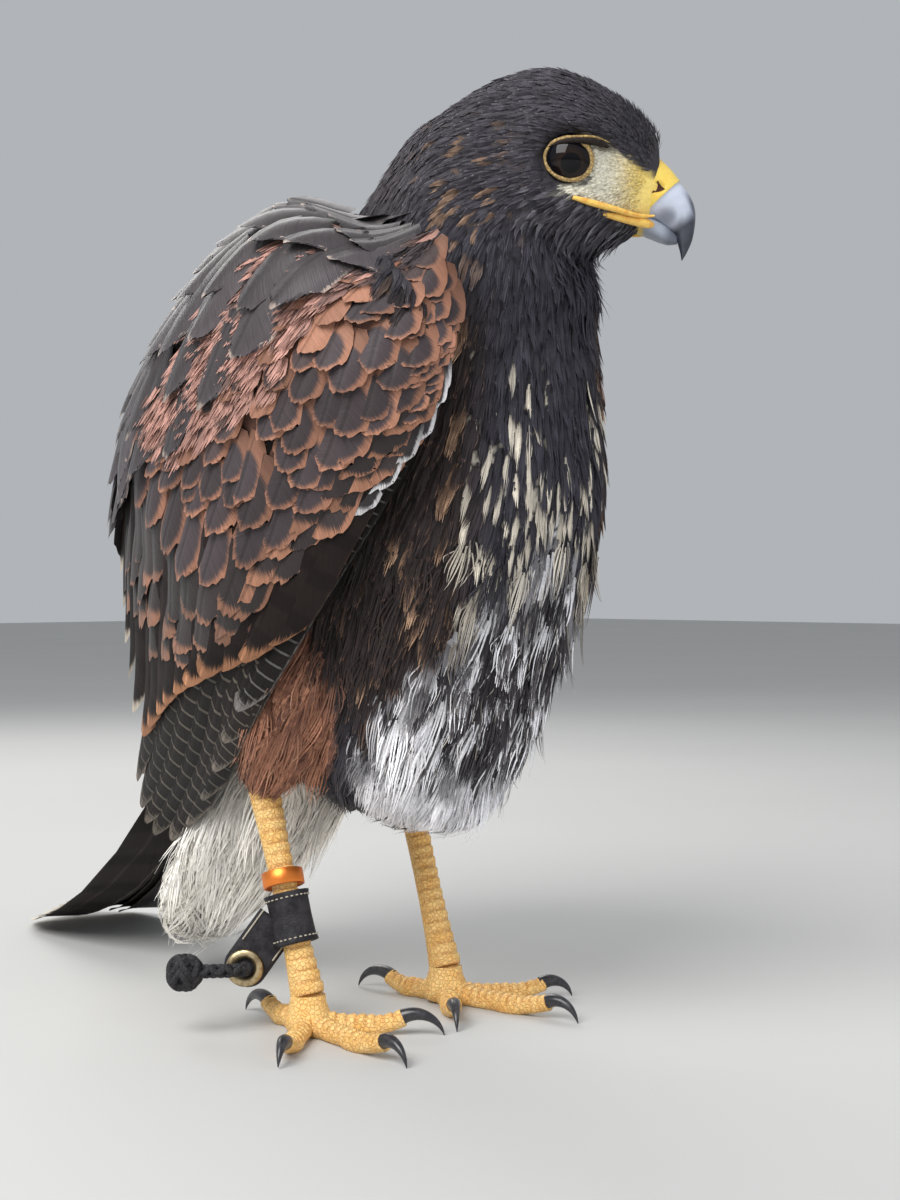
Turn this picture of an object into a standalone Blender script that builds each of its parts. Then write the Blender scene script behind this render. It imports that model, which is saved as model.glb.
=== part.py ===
"""Young Harris's hawk standing on a floor, body towards -Y, head turned to its own left.

The tables hold millimetres as (f, s, z): forward, to the bird's right, and up. at() turns them
into metres, with -Y forward and -X to the bird's right. The floor is z = 0.
"""

import math
import random

import bmesh
import bpy
import numpy as np
from mathutils import Matrix

MM = 0.001
GAP = 0.3
FLAT_ANGLE = 0.5
SEED = 41

# Trunk slices: height, widest point forward, reach forward, reach back, half width
TRUNK = [
    (70, 45, 6, 8, 7),
    (77, 38, 18, 34, 20),
    (85, 29, 29, 56, 31),
    (104, 28, 41, 88, 41),
    (125, 30, 47, 114, 47),
    (150, 32, 56, 128, 54),
    (186, 36, 61, 131, 57),
    (212, 39, 57, 122, 56),
    (236, 42, 53, 104, 53),
    (262, 46, 49, 72, 47),
    (274, 50, 41, 54, 41),
    (286, 55, 29, 42, 34),
    (298, 60, 18, 36, 26),
    (308, 64, 12, 30, 22),
    (318, 67, 8, 20, 15),
]
# How far the neck leans to the right under the turned head: height, sideways
NECK_LEAN = [(70, 0), (262, 0), (274, 1.2), (298, 8), (318, 9)]
TRUNK_SIDES = 22
TRUNK_POWER = 2.25
TORSO_LOW, TORSO_TOP = 71, 262
NECK_TOP = 317

# Head, in its own frame: forward, to its right, up from the eyes
HEAD_F, HEAD_S, HEAD_Z = 79.0, -10.0, 301.9
HEAD_TURN = math.radians(45)
HEAD_SCALE = 1.023
HEAD_SIDES = 16
HEAD_POWER = 2.3
# Distance forward, top, bottom, half width
HEAD = [
    (-47, 1, -18, 8),
    (-42, 11, -30, 18),
    (-30, 21, -36, 24),
    (-15, 27.5, -38, 26.5),
    (0, 31, -37.5, 26.5),
    (10, 30.3, -35, 25),
    (20, 26.8, -30.5, 20.5),
    (27, 22, -26.5, 15.8),
    (33, 15.5, -21, 11.6),
    (36, 10.8, -15, 9.4),
    (39, 5, -4, 6),
]
EYE_FORWARD, EYE_SIDE, EYE_UP, EYE_RADIUS = 5.0, 19.4, -4.8, 8.6
LID_RADIUS, LID_THICKNESS, LID_SIDES = 8.4, 1.4, 12
# Brow ridge path: forward, side, up
BROW = [(-8, 24.5, 3.5), (3, 27.0, 5.6), (14, 24.6, 4.4), (24, 18.6, 0.8), (31, 13.6, -3.5)]
BROW_WIDTH, BROW_THICKNESS = 3.2, 1.7
# The line of the mouth on the head: forward, up
GAPE = [(5.5, -18.4), (22, -20.6), (41, -21.2)]
GAPE_HEIGHT, GAPE_DEPTH = 0.9, 1.6
# Bill outline: upper edge (forward, up), lower edge (forward, up), half width
UPPER_BILL = [
    (26, 3.4, 26, -18.1, 9.6),
    (34, 2.4, 33, -20.1, 8.8),
    (40, -2.6, 38, -21.6, 7.4),
    (44.6, -9.1, 40.6, -22.8, 5.6),
    (47.6, -15.6, 42.0, -25.2, 4.0),
    (48.3, -22.1, 43.0, -28.0, 2.6),
    (47.2, -28.6, 43.6, -31.0, 1.3),
    (45.2, -33.2, 44.4, -33.6, 0.5),
]
LOWER_BILL = [
    (26, -19.2, 26, -27.6, 8.0),
    (32, -21.2, 32, -28.3, 6.6),
    (37, -23.0, 36, -28.4, 4.4),
    (39.6, -25.6, 39.3, -27.6, 1.4),
]
CERE_END = 2.35
NOSTRIL = (36.4, -11.0)
NOSTRIL_RADIUS = 1.5

# Right wing: rows from the shoulder to the tip, each from the leading edge to the back edge
WING = [
    [(88, 48, 238), (82, 56, 252), (66, 52, 266), (44, 40, 276)],
    [(80, 53, 205), (60, 69, 224), (28, 67, 254), (-6, 42, 275)],
    [(50, 61, 165), (20, 71, 192), (-22, 65, 224), (-62, 37, 247)],
    [(2, 60, 120), (-28, 65, 147), (-64, 56, 178), (-102, 33, 202)],
    [(-50, 41, 90), (-70, 42, 106), (-97, 34, 128), (-125, 20, 146)],
    [(-118, 14, 58), (-125, 14, 63), (-132, 13, 69), (-138, 12, 76)],
]
# The left wing, held further back, with its tip over the tail
LEFT_WING = [
    [(62, 45, 238), (56, 52, 252), (44, 49, 266), (26, 38, 276)],
    [(54, 51, 205), (36, 62, 224), (8, 62, 254), (-18, 41, 273)],
    [(30, 57, 168), (0, 66, 194), (-36, 61, 224), (-70, 36, 245)],
    [(-12, 56, 124), (-42, 61, 151), (-74, 53, 181), (-108, 31, 201)],
    [(-62, 39, 98), (-82, 39, 115), (-108, 30, 137), (-132, 17, 153)],
    [(-144, 0, 76), (-150, -2, 81), (-156, -4, 87), (-162, -6, 95)],
]
ARM_END = 0.60
ARM_FLOOR, ROOM_FLOOR, ROOM_DROP, ROOM_TOP = 0.4, -0.5, 2.4, 20
# Rows of coverts: start and end along the wing, feathers, rise of the tips
COVERTS = [(0.03, 0.20, 4, 2.0), (0.15, 0.32, 4, 2.2), (0.27, 0.44, 4, 2.2), (0.38, 0.60, 5, 2.0)]
SECONDARIES = 5
PRIMARIES = 5
SCAPULARS = [(0.03, 0.23, 2, 5.0), (0.13, 0.37, 2, 10.0), (0.27, 0.54, 2, 10.0)]
VANE, SHAFT = 0.5, 0.7

# Back feathers on the torso: height of the root, height of the tip
MANTLE = [(259, 224), (239, 200), (214, 172), (187, 143)]
MANTLE_SIDES, MANTLE_HALF = (-18, 0, 18), 11.5
# Rows of loose belly feathers: height of the roots, count, how far the tips stand off
BELLY_ROWS = [(98, 6, 0.5), (112, 7, 4.0), (128, 6, 3.0)]

# Tail: root, slope at the root and tip, length, swing to the bird's left
TAIL_ROOT = (-80, 0, 108.0)
TAIL_SLOPE = (math.radians(57), math.radians(6))
TAIL_LENGTH = 208
TAIL_SWING = math.radians(-12)
TAIL_FEATHERS = 6
TAIL_HALF_ROOT, TAIL_HALF_TIP = 11, 25
TAIL_VANE = 15.5

# White under-tail feathers: a soft core, and locks out to their tips
VENT = [
    (-24, 92, 24, 15),
    (-44, 81, 28, 19),
    (-64, 63, 29, 19),
    (-84, 44, 25, 16),
    (-100, 28, 17, 10),
    (-110, 20, 8, 5),
]
VENT_LOCKS = 20

# Legs
FOOT_SIDE = 34
ANKLE = (-19, 35, 86)
HIP = (20, 33, 148)
THIGH_RADII = [(0.0, 15), (0.15, 23), (0.4, 26), (0.65, 22), (0.85, 15.5), (1.0, 10.5)]
THIGH_ROOM = [(0.0, 16), (0.15, 24), (0.4, 27), (0.65, 23), (0.85, 18.5), (1.0, 17), (1.12, 15)]
SHANK_RADII = [(86, 5.6), (78, 5.4), (60, 4.7), (40, 4.7), (24, 5.3), (13, 6.2)]
SHANK_FOOT = 5.0
PAD_TOP = 13
# Toes: name, direction from forward to the outside, length, radius
TOES = [
    ("middle", 8, 47, 4.3),
    ("outer", 52, 38, 3.9),
    ("inner", -40, 34, 4.3),
    ("hind", 188, 27, 4.3),
]
SCUTES = 4
CLAW_LENGTH = {"middle": 16, "outer": 13.5, "inner": 18, "hind": 20}
CLAW_RADIUS = 2.5

# What the right leg wears
RING_HEIGHT, RING_OUTER, RING_WALL, RING_Z = 5.6, 7.4, 1.0, 52.5
CUFF_LOW, CUFF_HIGH, CUFF_WALL = 30.0, 48.0, 1.8
TAB_LENGTH, TAB_WIDTH, TAB_DROP = 17.0, 15.5, 14.0
TAB_THICKNESS = 3.2
EYELET_OUTER, EYELET_BARREL, EYELET_BORE = 6.7, 4.4, 3.4
KNOT_RADIUS = 6.6

COLOURS = {
    "dark_feather": ((0.045, 0.032, 0.028), 0.7, 0.0),
    "rufous_feather": ((0.22, 0.085, 0.04), 0.7, 0.0),
    "white_feather": ((0.72, 0.67, 0.6), 0.8, 0.0),
    "cere_skin": ((0.85, 0.55, 0.06), 0.4, 0.0),
    "leg_skin": ((0.8, 0.42, 0.08), 0.5, 0.0),
    "horn": ((0.16, 0.19, 0.25), 0.3, 0.0),
    "claw_horn": ((0.02, 0.02, 0.022), 0.3, 0.0),
    "eye": ((0.02, 0.012, 0.01), 0.05, 0.0),
    "leather": ((0.02, 0.02, 0.022), 0.6, 0.0),
    "orange_metal": ((0.85, 0.16, 0.03), 0.35, 0.6),
    "brass": ((0.75, 0.62, 0.35), 0.3, 1.0),
}


def at(f, s, z):
    return np.array((-s, -f, z), float) * MM


def unit(vector):
    return vector / np.linalg.norm(vector)


def smooth(rows, x):
    """A smooth value between table rows, whose first column is the key."""
    rows = np.asarray(sorted(rows), float)
    keys = rows[:, 0]
    last = len(keys) - 1
    i = int(np.clip(np.searchsorted(keys, x) - 1, 0, last - 1))
    before, after = max(i - 1, 0), min(i + 2, last)
    span = keys[i + 1] - keys[i]
    t = (x - keys[i]) / span
    slope0 = (rows[i + 1] - rows[before]) / (keys[i + 1] - keys[before]) * span
    slope1 = (rows[after] - rows[i]) / (keys[after] - keys[i]) * span
    value = (
        (2 * t**3 - 3 * t**2 + 1) * rows[i]
        + (t**3 - 2 * t**2 + t) * slope0
        + (3 * t**2 - 2 * t**3) * rows[i + 1]
        + (t**3 - t**2) * slope1
    )
    return value[1:]


def along(points, t):
    """A smooth point at t, from 0 to 1, along a few points."""
    points = np.asarray(points, float)
    count = len(points) - 1
    rows = [(i / count, *points[i].ravel()) for i in range(count + 1)]
    return smooth(rows, t).reshape(points.shape[1:])


def add_mesh(name, verts, faces):
    mesh = bpy.data.meshes.new(name)
    mesh.from_pydata([tuple(v) for v in verts], [], faces)
    bm = bmesh.new()
    bm.from_mesh(mesh)
    bmesh.ops.recalc_face_normals(bm, faces=bm.faces)
    bmesh.ops.triangulate(bm, faces=[face for face in bm.faces if len(face.verts) > 4])
    bm.to_mesh(mesh)
    bm.free()
    obj = bpy.data.objects.new(name, mesh)
    bpy.context.scene.collection.objects.link(obj)
    return obj


def loft(name, rings, strip_ends=False):
    """A closed body through rings of equally many points, with a fan or a strip over each end."""
    count = len(rings[0])
    verts = [point for ring in rings for point in ring]
    faces = []
    for i in range(len(rings) - 1):
        for j in range(count):
            k = (j + 1) % count
            low, high = i * count, (i + 1) * count
            faces.append((low + j, low + k, high + k))
            faces.append((low + j, high + k, high + j))
    for ring, start in ((rings[0], 0), (rings[-1], (len(rings) - 1) * count)):
        if strip_ends:
            for j in range(count // 2 - 1):
                a, b, c, d = j, j + 1, count - 2 - j, count - 1 - j
                faces += [(start + a, start + b, start + c), (start + a, start + c, start + d)]
            continue
        middle = len(verts)
        verts.append(np.mean(ring, axis=0))
        faces += [(middle, start + j, start + (j + 1) % count) for j in range(count)]
    return add_mesh(name, verts, faces)


def band(name, rings):
    """A closed band: rings of a cross-section joined end to end."""
    count, total = len(rings[0]), len(rings)
    verts = [point for ring in rings for point in ring]
    faces = []
    for i in range(total):
        low, high = i * count, (i + 1) % total * count
        for j in range(count):
            k = (j + 1) % count
            faces.append((low + j, low + k, high + k, high + j))
    return add_mesh(name, verts, faces)


def plate(name, points, thickness):
    """A thin solid about a grid of points, split into the same triangles on both faces."""
    points = np.asarray(points, float)
    rows, cols = points.shape[:2]
    normal = np.cross(np.gradient(points, axis=0), np.gradient(points, axis=1))
    normal /= np.linalg.norm(normal, axis=2, keepdims=True)
    half = normal * np.broadcast_to(thickness, (rows, cols))[:, :, None] * MM / 2
    verts = list((points + half).reshape(-1, 3)) + list((points - half).reshape(-1, 3))
    below = rows * cols
    faces = []
    for i in range(rows - 1):
        for j in range(cols - 1):
            a, b = i * cols + j, i * cols + j + 1
            c, d = a + cols, b + cols
            faces += [(a, b, d), (a, d, c)]
            faces += [(below + a, below + d, below + b), (below + a, below + c, below + d)]
    rim = [j for j in range(cols)]
    rim += [i * cols + cols - 1 for i in range(1, rows)]
    rim += [(rows - 1) * cols + j for j in range(cols - 2, -1, -1)]
    rim += [i * cols for i in range(rows - 2, 0, -1)]
    for a, b in zip(rim, rim[1:] + rim[:1]):
        faces += [(a, below + a, below + b), (a, below + b, b)]
    return add_mesh(name, verts, faces)


def pipe(name, centres, radii, sides, flat=None):
    """A round rod through centres in metres, with a radius in millimetres at each one."""
    centres = np.asarray(centres, float)
    tangents = np.gradient(centres, axis=0)
    helper = np.array((0.31, 0.2, 0.93))
    if abs(unit(tangents[0]) @ helper) > 0.85:
        helper = np.array((0.9, -0.3, 0.1))
    rings = []
    for centre, tangent, radius in zip(centres, tangents, radii):
        tangent = unit(tangent)
        side = unit(np.cross(tangent, helper))
        up = np.cross(side, tangent)
        ring = []
        for j in range(sides):
            angle = math.tau * j / sides
            point = centre + (side * math.cos(angle) + up * math.sin(angle)) * radius * MM
            if flat is not None:
                point[2] = max(point[2], flat)
            ring.append(point)
        rings.append(ring)
    return loft(name, rings)


def keep_largest(obj):
    """Keeps the closed surface that holds most, and drops loose scraps and sealed hollows."""
    bm = bmesh.new()
    bm.from_mesh(obj.data)
    bmesh.ops.remove_doubles(bm, verts=bm.verts, dist=0.000002)
    bmesh.ops.dissolve_degenerate(bm, edges=bm.edges, dist=0.000002)
    bmesh.ops.triangulate(bm, faces=bm.faces)
    left, shells = set(bm.faces), []
    while left:
        front = [left.pop()]
        shell = list(front)
        while front:
            face = front.pop()
            for edge in face.edges:
                for other in edge.link_faces:
                    if other in left:
                        left.remove(other)
                        front.append(other)
                        shell.append(other)
        corners = np.array([[v.co for v in face.verts] for face in shell])
        shells.append((np.linalg.det(corners).sum(), shell))
    shells.sort(key=lambda item: item[0])
    loose = [face for _, shell in shells[:-1] for face in shell]
    bmesh.ops.delete(bm, geom=loose, context="FACES")
    bmesh.ops.dissolve_limit(
        bm, angle_limit=math.radians(FLAT_ANGLE), verts=bm.verts, edges=bm.edges
    )
    bmesh.ops.triangulate(bm, faces=bm.faces)
    bm.to_mesh(obj.data)
    bm.free()
    return obj


def boolean(obj, others, operation):
    """Applies one Boolean with a collection of closed bodies, which are then removed."""
    group = bpy.data.collections.new("pieces")
    bpy.context.scene.collection.children.link(group)
    for other in others:
        bpy.context.scene.collection.objects.unlink(other)
        group.objects.link(other)
    modifier = obj.modifiers.new("join", "BOOLEAN")
    modifier.operation = operation
    modifier.operand_type = "COLLECTION"
    modifier.collection = group
    modifier.solver = "MANIFOLD"
    graph = bpy.context.evaluated_depsgraph_get()
    mesh = bpy.data.meshes.new_from_object(obj.evaluated_get(graph))
    obj.modifiers.remove(modifier)
    obj.data = mesh
    for other in list(group.objects):
        bpy.data.objects.remove(other)
    bpy.data.collections.remove(group)
    return keep_largest(obj)


def union(obj, others):
    return boolean(obj, others, "UNION")


def cut(obj, others):
    return boolean(obj, others, "DIFFERENCE")


def grown(obj, distance):
    """The body with its surface moved outwards, for cutting others clear of it."""
    moves = [vertex.normal.copy() * distance * MM for vertex in obj.data.vertices]
    for vertex, move in zip(obj.data.vertices, moves):
        vertex.co += move
    return obj


def finish(obj, name, colour):
    """Names a body and its mesh, and gives it its material and smooth shading."""
    obj.name = name
    obj.data.name = name
    base, roughness, metallic = COLOURS[colour]
    material = bpy.data.materials.get(colour)
    if material is None:
        material = bpy.data.materials.new(colour)
        material.use_nodes = True
        shader = material.node_tree.nodes["Principled BSDF"]
        shader.inputs["Base Color"].default_value = (*base, 1)
        shader.inputs["Roughness"].default_value = roughness
        shader.inputs["Metallic"].default_value = metallic
    obj.data.materials.clear()
    obj.data.materials.append(material)
    obj.data.shade_smooth()
    obj.data.set_sharp_from_angle(angle=math.radians(40))
    return obj


def power(value, exponent):
    return math.copysign(abs(value) ** exponent, value)


def trunk_ring(z):
    """One egg-shaped slice of the trunk at height z, round from the front."""
    widest, front, back, width = smooth(TRUNK, z)
    lean = smooth(NECK_LEAN, z)[0] if z > TORSO_TOP else 0
    ring = []
    for j in range(TRUNK_SIDES):
        angle = math.tau * j / TRUNK_SIDES
        f = power(math.cos(angle), 2 / TRUNK_POWER)
        s = power(math.sin(angle), 2 / TRUNK_POWER)
        reach = front if f > 0 else back
        ring.append(at(widest + reach * f, width * s + lean, z))
    return ring


def back_point(s, z, lift):
    """A point on the bird's back, off the trunk by lift."""
    widest, _, back, width = smooth(TRUNK, z)
    depth = max(1 - abs(s / width) ** TRUNK_POWER, 0.05) ** (1 / TRUNK_POWER)
    return at(widest - back * depth - lift, s, z)


def front_point(angle, z, lift):
    """A point on the breast or belly at an angle from forward, off the trunk by lift."""
    widest, front, _, width = smooth(TRUNK, z)
    f = power(math.cos(angle), 2 / TRUNK_POWER)
    s = power(math.sin(angle), 2 / TRUNK_POWER)
    point = at(widest + front * f, width * s, z)
    out = unit(np.array((-math.sin(angle), -math.cos(angle), 0)))
    return point + out * lift * MM


def lock(name, root, tip, bow, width, across):
    """A flat tapered lock from root to tip, bent by bow, in metres."""
    rows = []
    for t, share in ((0, 0.8), (0.35, 1.0), (0.7, 0.75), (1, 0.16)):
        middle = root * (1 - t) + tip * t + bow * (4 * t * (1 - t))
        spread = across * width * MM / 2 * share
        rows.append([middle - spread, middle + spread])
    return plate(name, rows, np.array([[0.9], [0.8], [0.7], [0.5]]))


def trunk_form():
    """The plain form of the trunk."""
    return loft("torso", [trunk_ring(z) for z in np.linspace(TORSO_LOW, TORSO_TOP, 14)])


def torso(rng):
    """The trunk with its back feathers and the loose locks of the belly."""
    body = trunk_form()
    pieces = []
    for row, (high, low) in enumerate(MANTLE):
        for s in MANTLE_SIDES:
            middle = s + (3.5 if row % 2 else -3.5)
            rows = []
            for t, share in ((0, 0.9), (0.7, 1.0), (1, 0.4)):
                z = high + (low - high) * t
                lift = -2.4 + 5.6 * t
                half = MANTLE_HALF * share
                rows.append([back_point(middle + w * half, z, lift + 0.9 * w) for w in (-1, 0, 1)])
            pieces.append(plate("mantle", rows, VANE))
    for high, count, lift in BELLY_ROWS:
        for k in range(count):
            angle = math.radians(-66 + 132 * (k + 0.5) / count)
            start = high + rng.uniform(-3, 3)
            root = front_point(angle, start, -3)
            tip = front_point(angle, max(start - 22, 86), lift + rng.uniform(0, 1.5))
            tip[2] = (start - rng.uniform(26, 35)) * MM
            across = np.array((math.cos(angle), -math.sin(angle), 0))
            out = np.array((-math.sin(angle), -math.cos(angle), 0))
            pieces.append(lock("belly", root, tip, out * 2.5 * MM, 14, across))
    union(body, pieces)
    rooms = [wing_room(1), wing_room(-1)]
    rooms += [thigh_form(side, THIGH_ROOM) for side in (1, -1)]
    return cut(body, rooms)


def neck():
    levels = np.linspace(TORSO_TOP + GAP, NECK_TOP, 9)
    body = loft("neck", [trunk_ring(z) for z in levels])
    return cut(body, [grown(head_form(), GAP), wing_room(1), wing_room(-1)])


def head_at(x, y, z):
    """A point of the head's own frame, in metres."""
    x, y, z = x * HEAD_SCALE, y * HEAD_SCALE, z * HEAD_SCALE
    c, s = math.cos(HEAD_TURN), math.sin(HEAD_TURN)
    return at(HEAD_F + x * c + y * s, HEAD_S - x * s + y * c, HEAD_Z + z)


def head_width(x, z):
    """Half the width of the head at a place of its profile."""
    top, bottom, width = smooth(HEAD, x)
    height = abs(z - (top + bottom) / 2) / ((top - bottom) / 2)
    return width * max(1 - height**HEAD_POWER, 0.02) ** (1 / HEAD_POWER)


def bill_ring(rows, t, sides, grow=0.0):
    """One ring of the bill, at a share t of its table's rows."""
    top_x, top_z, low_x, low_z, width = smooth([(i, *row) for i, row in enumerate(rows)], t)
    centre = np.array(((top_x + low_x) / 2, (top_z + low_z) / 2))
    half = np.array(((top_x - low_x) / 2, (top_z - low_z) / 2))
    half = half * (1 + grow / max(np.linalg.norm(half), 0.1))
    ring = []
    for j in range(sides):
        angle = math.tau * j / sides
        x, z = centre + half * math.cos(angle)
        ring.append(head_at(x, (width + grow) * power(math.sin(angle), 0.85), z))
    return ring


def bill_part(name, rows, start, end, count, grow=0.0, sides=14):
    return loft(name, [bill_ring(rows, t, sides, grow) for t in np.linspace(start, end, count)])


def ball(name, centre, radius, segments=20, rings=12):
    mesh = bpy.data.meshes.new(name)
    bm = bmesh.new()
    bmesh.ops.create_uvsphere(bm, u_segments=segments, v_segments=rings, radius=radius * MM)
    bmesh.ops.translate(bm, verts=bm.verts, vec=tuple(centre))
    bm.to_mesh(mesh)
    bm.free()
    obj = bpy.data.objects.new(name, mesh)
    bpy.context.scene.collection.objects.link(obj)
    return obj


def head_form():
    """The plain form of the head."""
    rings = []
    for x in (-47, -42, -33, -20, -6, 6, 15, 23, 29, 33, 36, 39):
        top, bottom, width = smooth(HEAD, x)
        centre, half = (top + bottom) / 2, (top - bottom) / 2
        ring = []
        for j in range(HEAD_SIDES):
            angle = math.tau * (j + 0.5) / HEAD_SIDES
            y = width * power(math.sin(angle), 2 / HEAD_POWER)
            ring.append(head_at(x, y, centre + half * power(math.cos(angle), 2 / HEAD_POWER)))
        rings.append(ring)
    return loft("head", rings)


def head():
    """The head with brows and lids, open for the eyes and bill, and with the line of the mouth."""
    body = head_form()
    added, removed = [], []
    for side in (1, -1):
        eye = (EYE_FORWARD, side * EYE_SIDE, EYE_UP)
        outward = unit(head_at(0.3, side, 0.08) - head_at(0, 0, 0))
        socket = ball("socket", head_at(*eye), EYE_RADIUS + GAP, 12, 8)
        removed.append(socket)
        middle = head_at(*eye) + outward * 4.4 * MM
        up = unit(np.cross(outward, head_at(1, 0, 0) - head_at(0, 0, 0)))
        level = np.cross(up, outward)
        rings = []
        for i in range(LID_SIDES):
            angle = math.tau * i / LID_SIDES
            spoke = level * math.cos(angle) + up * math.sin(angle)
            centre = middle + spoke * LID_RADIUS * MM
            turns = [math.tau * j / 4 for j in range(4)]
            ring = [
                centre + (spoke * math.cos(a) + outward * math.sin(a)) * LID_THICKNESS * MM
                for a in turns
            ]
            rings.append(ring)
        added.append(band("lids", rings))
        rows = []
        for t, share in ((0, 0.4), (0.2, 0.9), (0.45, 1), (0.7, 0.9), (1, 0.4)):
            x, y, z = along(BROW, t)
            inner = head_at(x, side * (y - 6), z + 1.5)
            outer = head_at(x, side * (y - 2 + BROW_WIDTH * share), z - 0.6)
            rows.append([inner, (inner + outer) / 2 + np.array((0, 0, 0.6 * MM)), outer])
        added.append(plate("brow", rows, BROW_THICKNESS))
        line = []
        for t in np.linspace(0, 1, 5):
            x, z = along(GAPE, t)
            width = head_width(min(x, 39), z)
            near = head_at(x, side * (width - GAPE_DEPTH), z)
            line.append([near, head_at(x, side * (width + 6), z)])
        removed.append(plate("mouth", line, GAPE_HEIGHT))
    union(body, added)
    removed.append(bill_part("cere_room", UPPER_BILL, 0, CERE_END + 0.3, 4, GAP))
    removed.append(bill_part("jaw_room", LOWER_BILL, 0, 2.9, 5, GAP))
    return cut(body, removed)


def cere():
    body = bill_part("cere", UPPER_BILL, 0.05, CERE_END, 4)
    holes = []
    for side in (1, -1):
        x, z = NOSTRIL
        centres = [head_at(x, side * y, z) for y in (6.2, 12)]
        holes.append(pipe("nostril", centres, (NOSTRIL_RADIUS, NOSTRIL_RADIUS), 8))
    return cut(body, holes)


def wing_rows(side):
    rows = WING if side > 0 else LEFT_WING
    return np.array([[(f, s * side, z) for f, s, z in row] for row in rows])


def wing_point(rows, side, u, v, lift):
    """A point over the wing's own surface: u to the tip, v to the back edge."""

    def place(a, b):
        f, s, z = along(along(rows, a), b)
        return at(f, s, z)

    step = 0.01
    point = place(u, v)
    du = place(u + step, v) - place(u - step, v)
    dv = place(u, v + step) - place(u, v - step)
    normal = unit(np.cross(dv, du)) * side
    return point + normal * lift * MM


def arm_thickness(u):
    """How thick the wing's arm is, before its tips."""
    start = min(u / 0.1, 1)
    return 4.5 + 3.5 * math.sin(math.pi / 2 * start) - 3.4 * max(u - 0.2, 0) / (ARM_END - 0.2)


def arm_surface(u, v):
    """How high the outside of the arm stands over the wing's own surface."""
    return 1.0 + arm_thickness(u) * (1 - 0.75 * (2 * v - 1) ** 4)


def wing_vane(rows, side, ends, centre, half, lifts, shares, on_arm=True):
    """One vane over the wing: where it lies along and across it, and its lift at root and tip."""
    grid = []
    for t, share in shares:
        u = ends[0] + (ends[1] - ends[0]) * t
        v = centre[0] + (centre[1] - centre[0]) * t
        width = (half[0] + (half[1] - half[0]) * t) * share
        lift = lifts[0] + (lifts[1] - lifts[0]) * t + (arm_surface(u, v) if on_arm else 0)
        places = [np.clip(v + w * width, 0, 1) for w in (-1, 0, 1)]
        grid.append([wing_point(rows, side, u, p, lift - w) for p, w in zip(places, (-1, 0, 1))])
    return plate("vane", grid, (VANE, SHAFT, VANE))


SHORT = ((0, 0.8), (0.6, 1.0), (1, 0.35))
LONG = ((0, 0.7), (0.4, 1.0), (0.85, 0.85), (1, 0.25))


def arm_form(side):
    """The folded arm, without its feathers."""
    rows = wing_rows(side)
    rings = []
    across = np.linspace(0.02, 0.98, 6)
    for u in np.linspace(0, ARM_END, 7):
        outer = [wing_point(rows, side, u, v, arm_surface(u, v)) for v in across]
        inner = [wing_point(rows, side, u, v, ARM_FLOOR) for v in across[::-1]]
        rings.append(outer + inner)
    return loft("wing", rings, strip_ends=True)


def wing(side, rng):
    """The folded wing: an arm under rows of coverts, with its flight feathers and scapulars."""
    rows = wing_rows(side)
    arm = arm_form(side)
    pieces = []
    for start, end, count, rise in COVERTS:
        pitch = 0.9 / count
        for k in range(count):
            v = 0.05 + pitch * (k + 0.5)
            tip = end + rng.uniform(-0.008, 0.008)
            half = (pitch * 0.62, pitch * 0.66)
            pieces.append(wing_vane(rows, side, (start, tip), (v, v), half, (-1.5, rise), SHORT))
    pitch = 0.92 / SECONDARIES
    for k in range(SECONDARIES):
        v = 0.06 + pitch * (k + 0.5)
        end = 0.76 - 0.035 * math.cos(math.pi * k / (SECONDARIES - 1))
        half = (pitch * 0.6, pitch * 0.74)
        pieces.append(wing_vane(rows, side, (0.48, end), (v, v), half, (3.9, 4.9), LONG, False))
    pitch = 0.84 / PRIMARIES
    for k in range(PRIMARIES):
        v = 0.02 + pitch * (k + 0.6)
        end = 1.0 - 0.05 * abs(k - 2)
        half = (pitch * 0.7, pitch * 0.85)
        pieces.append(wing_vane(rows, side, (0.5, end), (v, v + 0.02), half, (1.8, 1.8), LONG, False))
    for start, end, count, rise in SCAPULARS:
        for k in range(count):
            v = 0.91 - 0.2 * (k + rng.uniform(-0.1, 0.1))
            high = 1.5 + rise * (1 - 0.25 * k) + rng.uniform(-0.5, 0.5)
            lifts = (-1.5, high)
            pieces.append(wing_vane(rows, side, (start, end), (v, v - 0.02), (0.09, 0.12), lifts, SHORT))
    return union(arm, pieces)


def wing_room(side):
    """The space that a wing takes, for cutting the body clear of it."""
    rows = wing_rows(side)
    rings = []
    across = np.array((-0.12, 0.02, 0.21, 0.5, 0.79, 1.04))
    for u in (-0.04, 0.05, 0.12, 0.2, 0.3, 0.42, 0.54, 0.68, 0.84, 1.02):
        deeper = np.clip((u - 0.4) / 0.2, 0, 1)
        floor = ROOM_FLOOR - ROOM_DROP * deeper
        outer = [wing_point(rows, side, u, v, ROOM_TOP) for v in across]
        inner = [wing_point(rows, side, u, v, floor) for v in across[::-1]]
        rings.append(outer + inner)
    return loft("room", rings, strip_ends=True)


def tail_point(x, y, lift):
    """A point x along the tail, y to its right and lift above its middle line."""
    start, end = TAIL_SLOPE
    turn = (end - start) / TAIL_LENGTH
    slope = start + turn * x
    f = TAIL_ROOT[0] - (math.sin(slope) - math.sin(start)) / turn
    z = TAIL_ROOT[2] - (math.cos(start) - math.cos(slope)) / turn
    f -= math.sin(slope) * lift
    z += math.cos(slope) * lift
    back = f - TAIL_ROOT[0]
    s = y * math.cos(TAIL_SWING) - back * math.sin(TAIL_SWING)
    f = TAIL_ROOT[0] + back * math.cos(TAIL_SWING) + y * math.sin(TAIL_SWING)
    return at(f, s, z)


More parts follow.
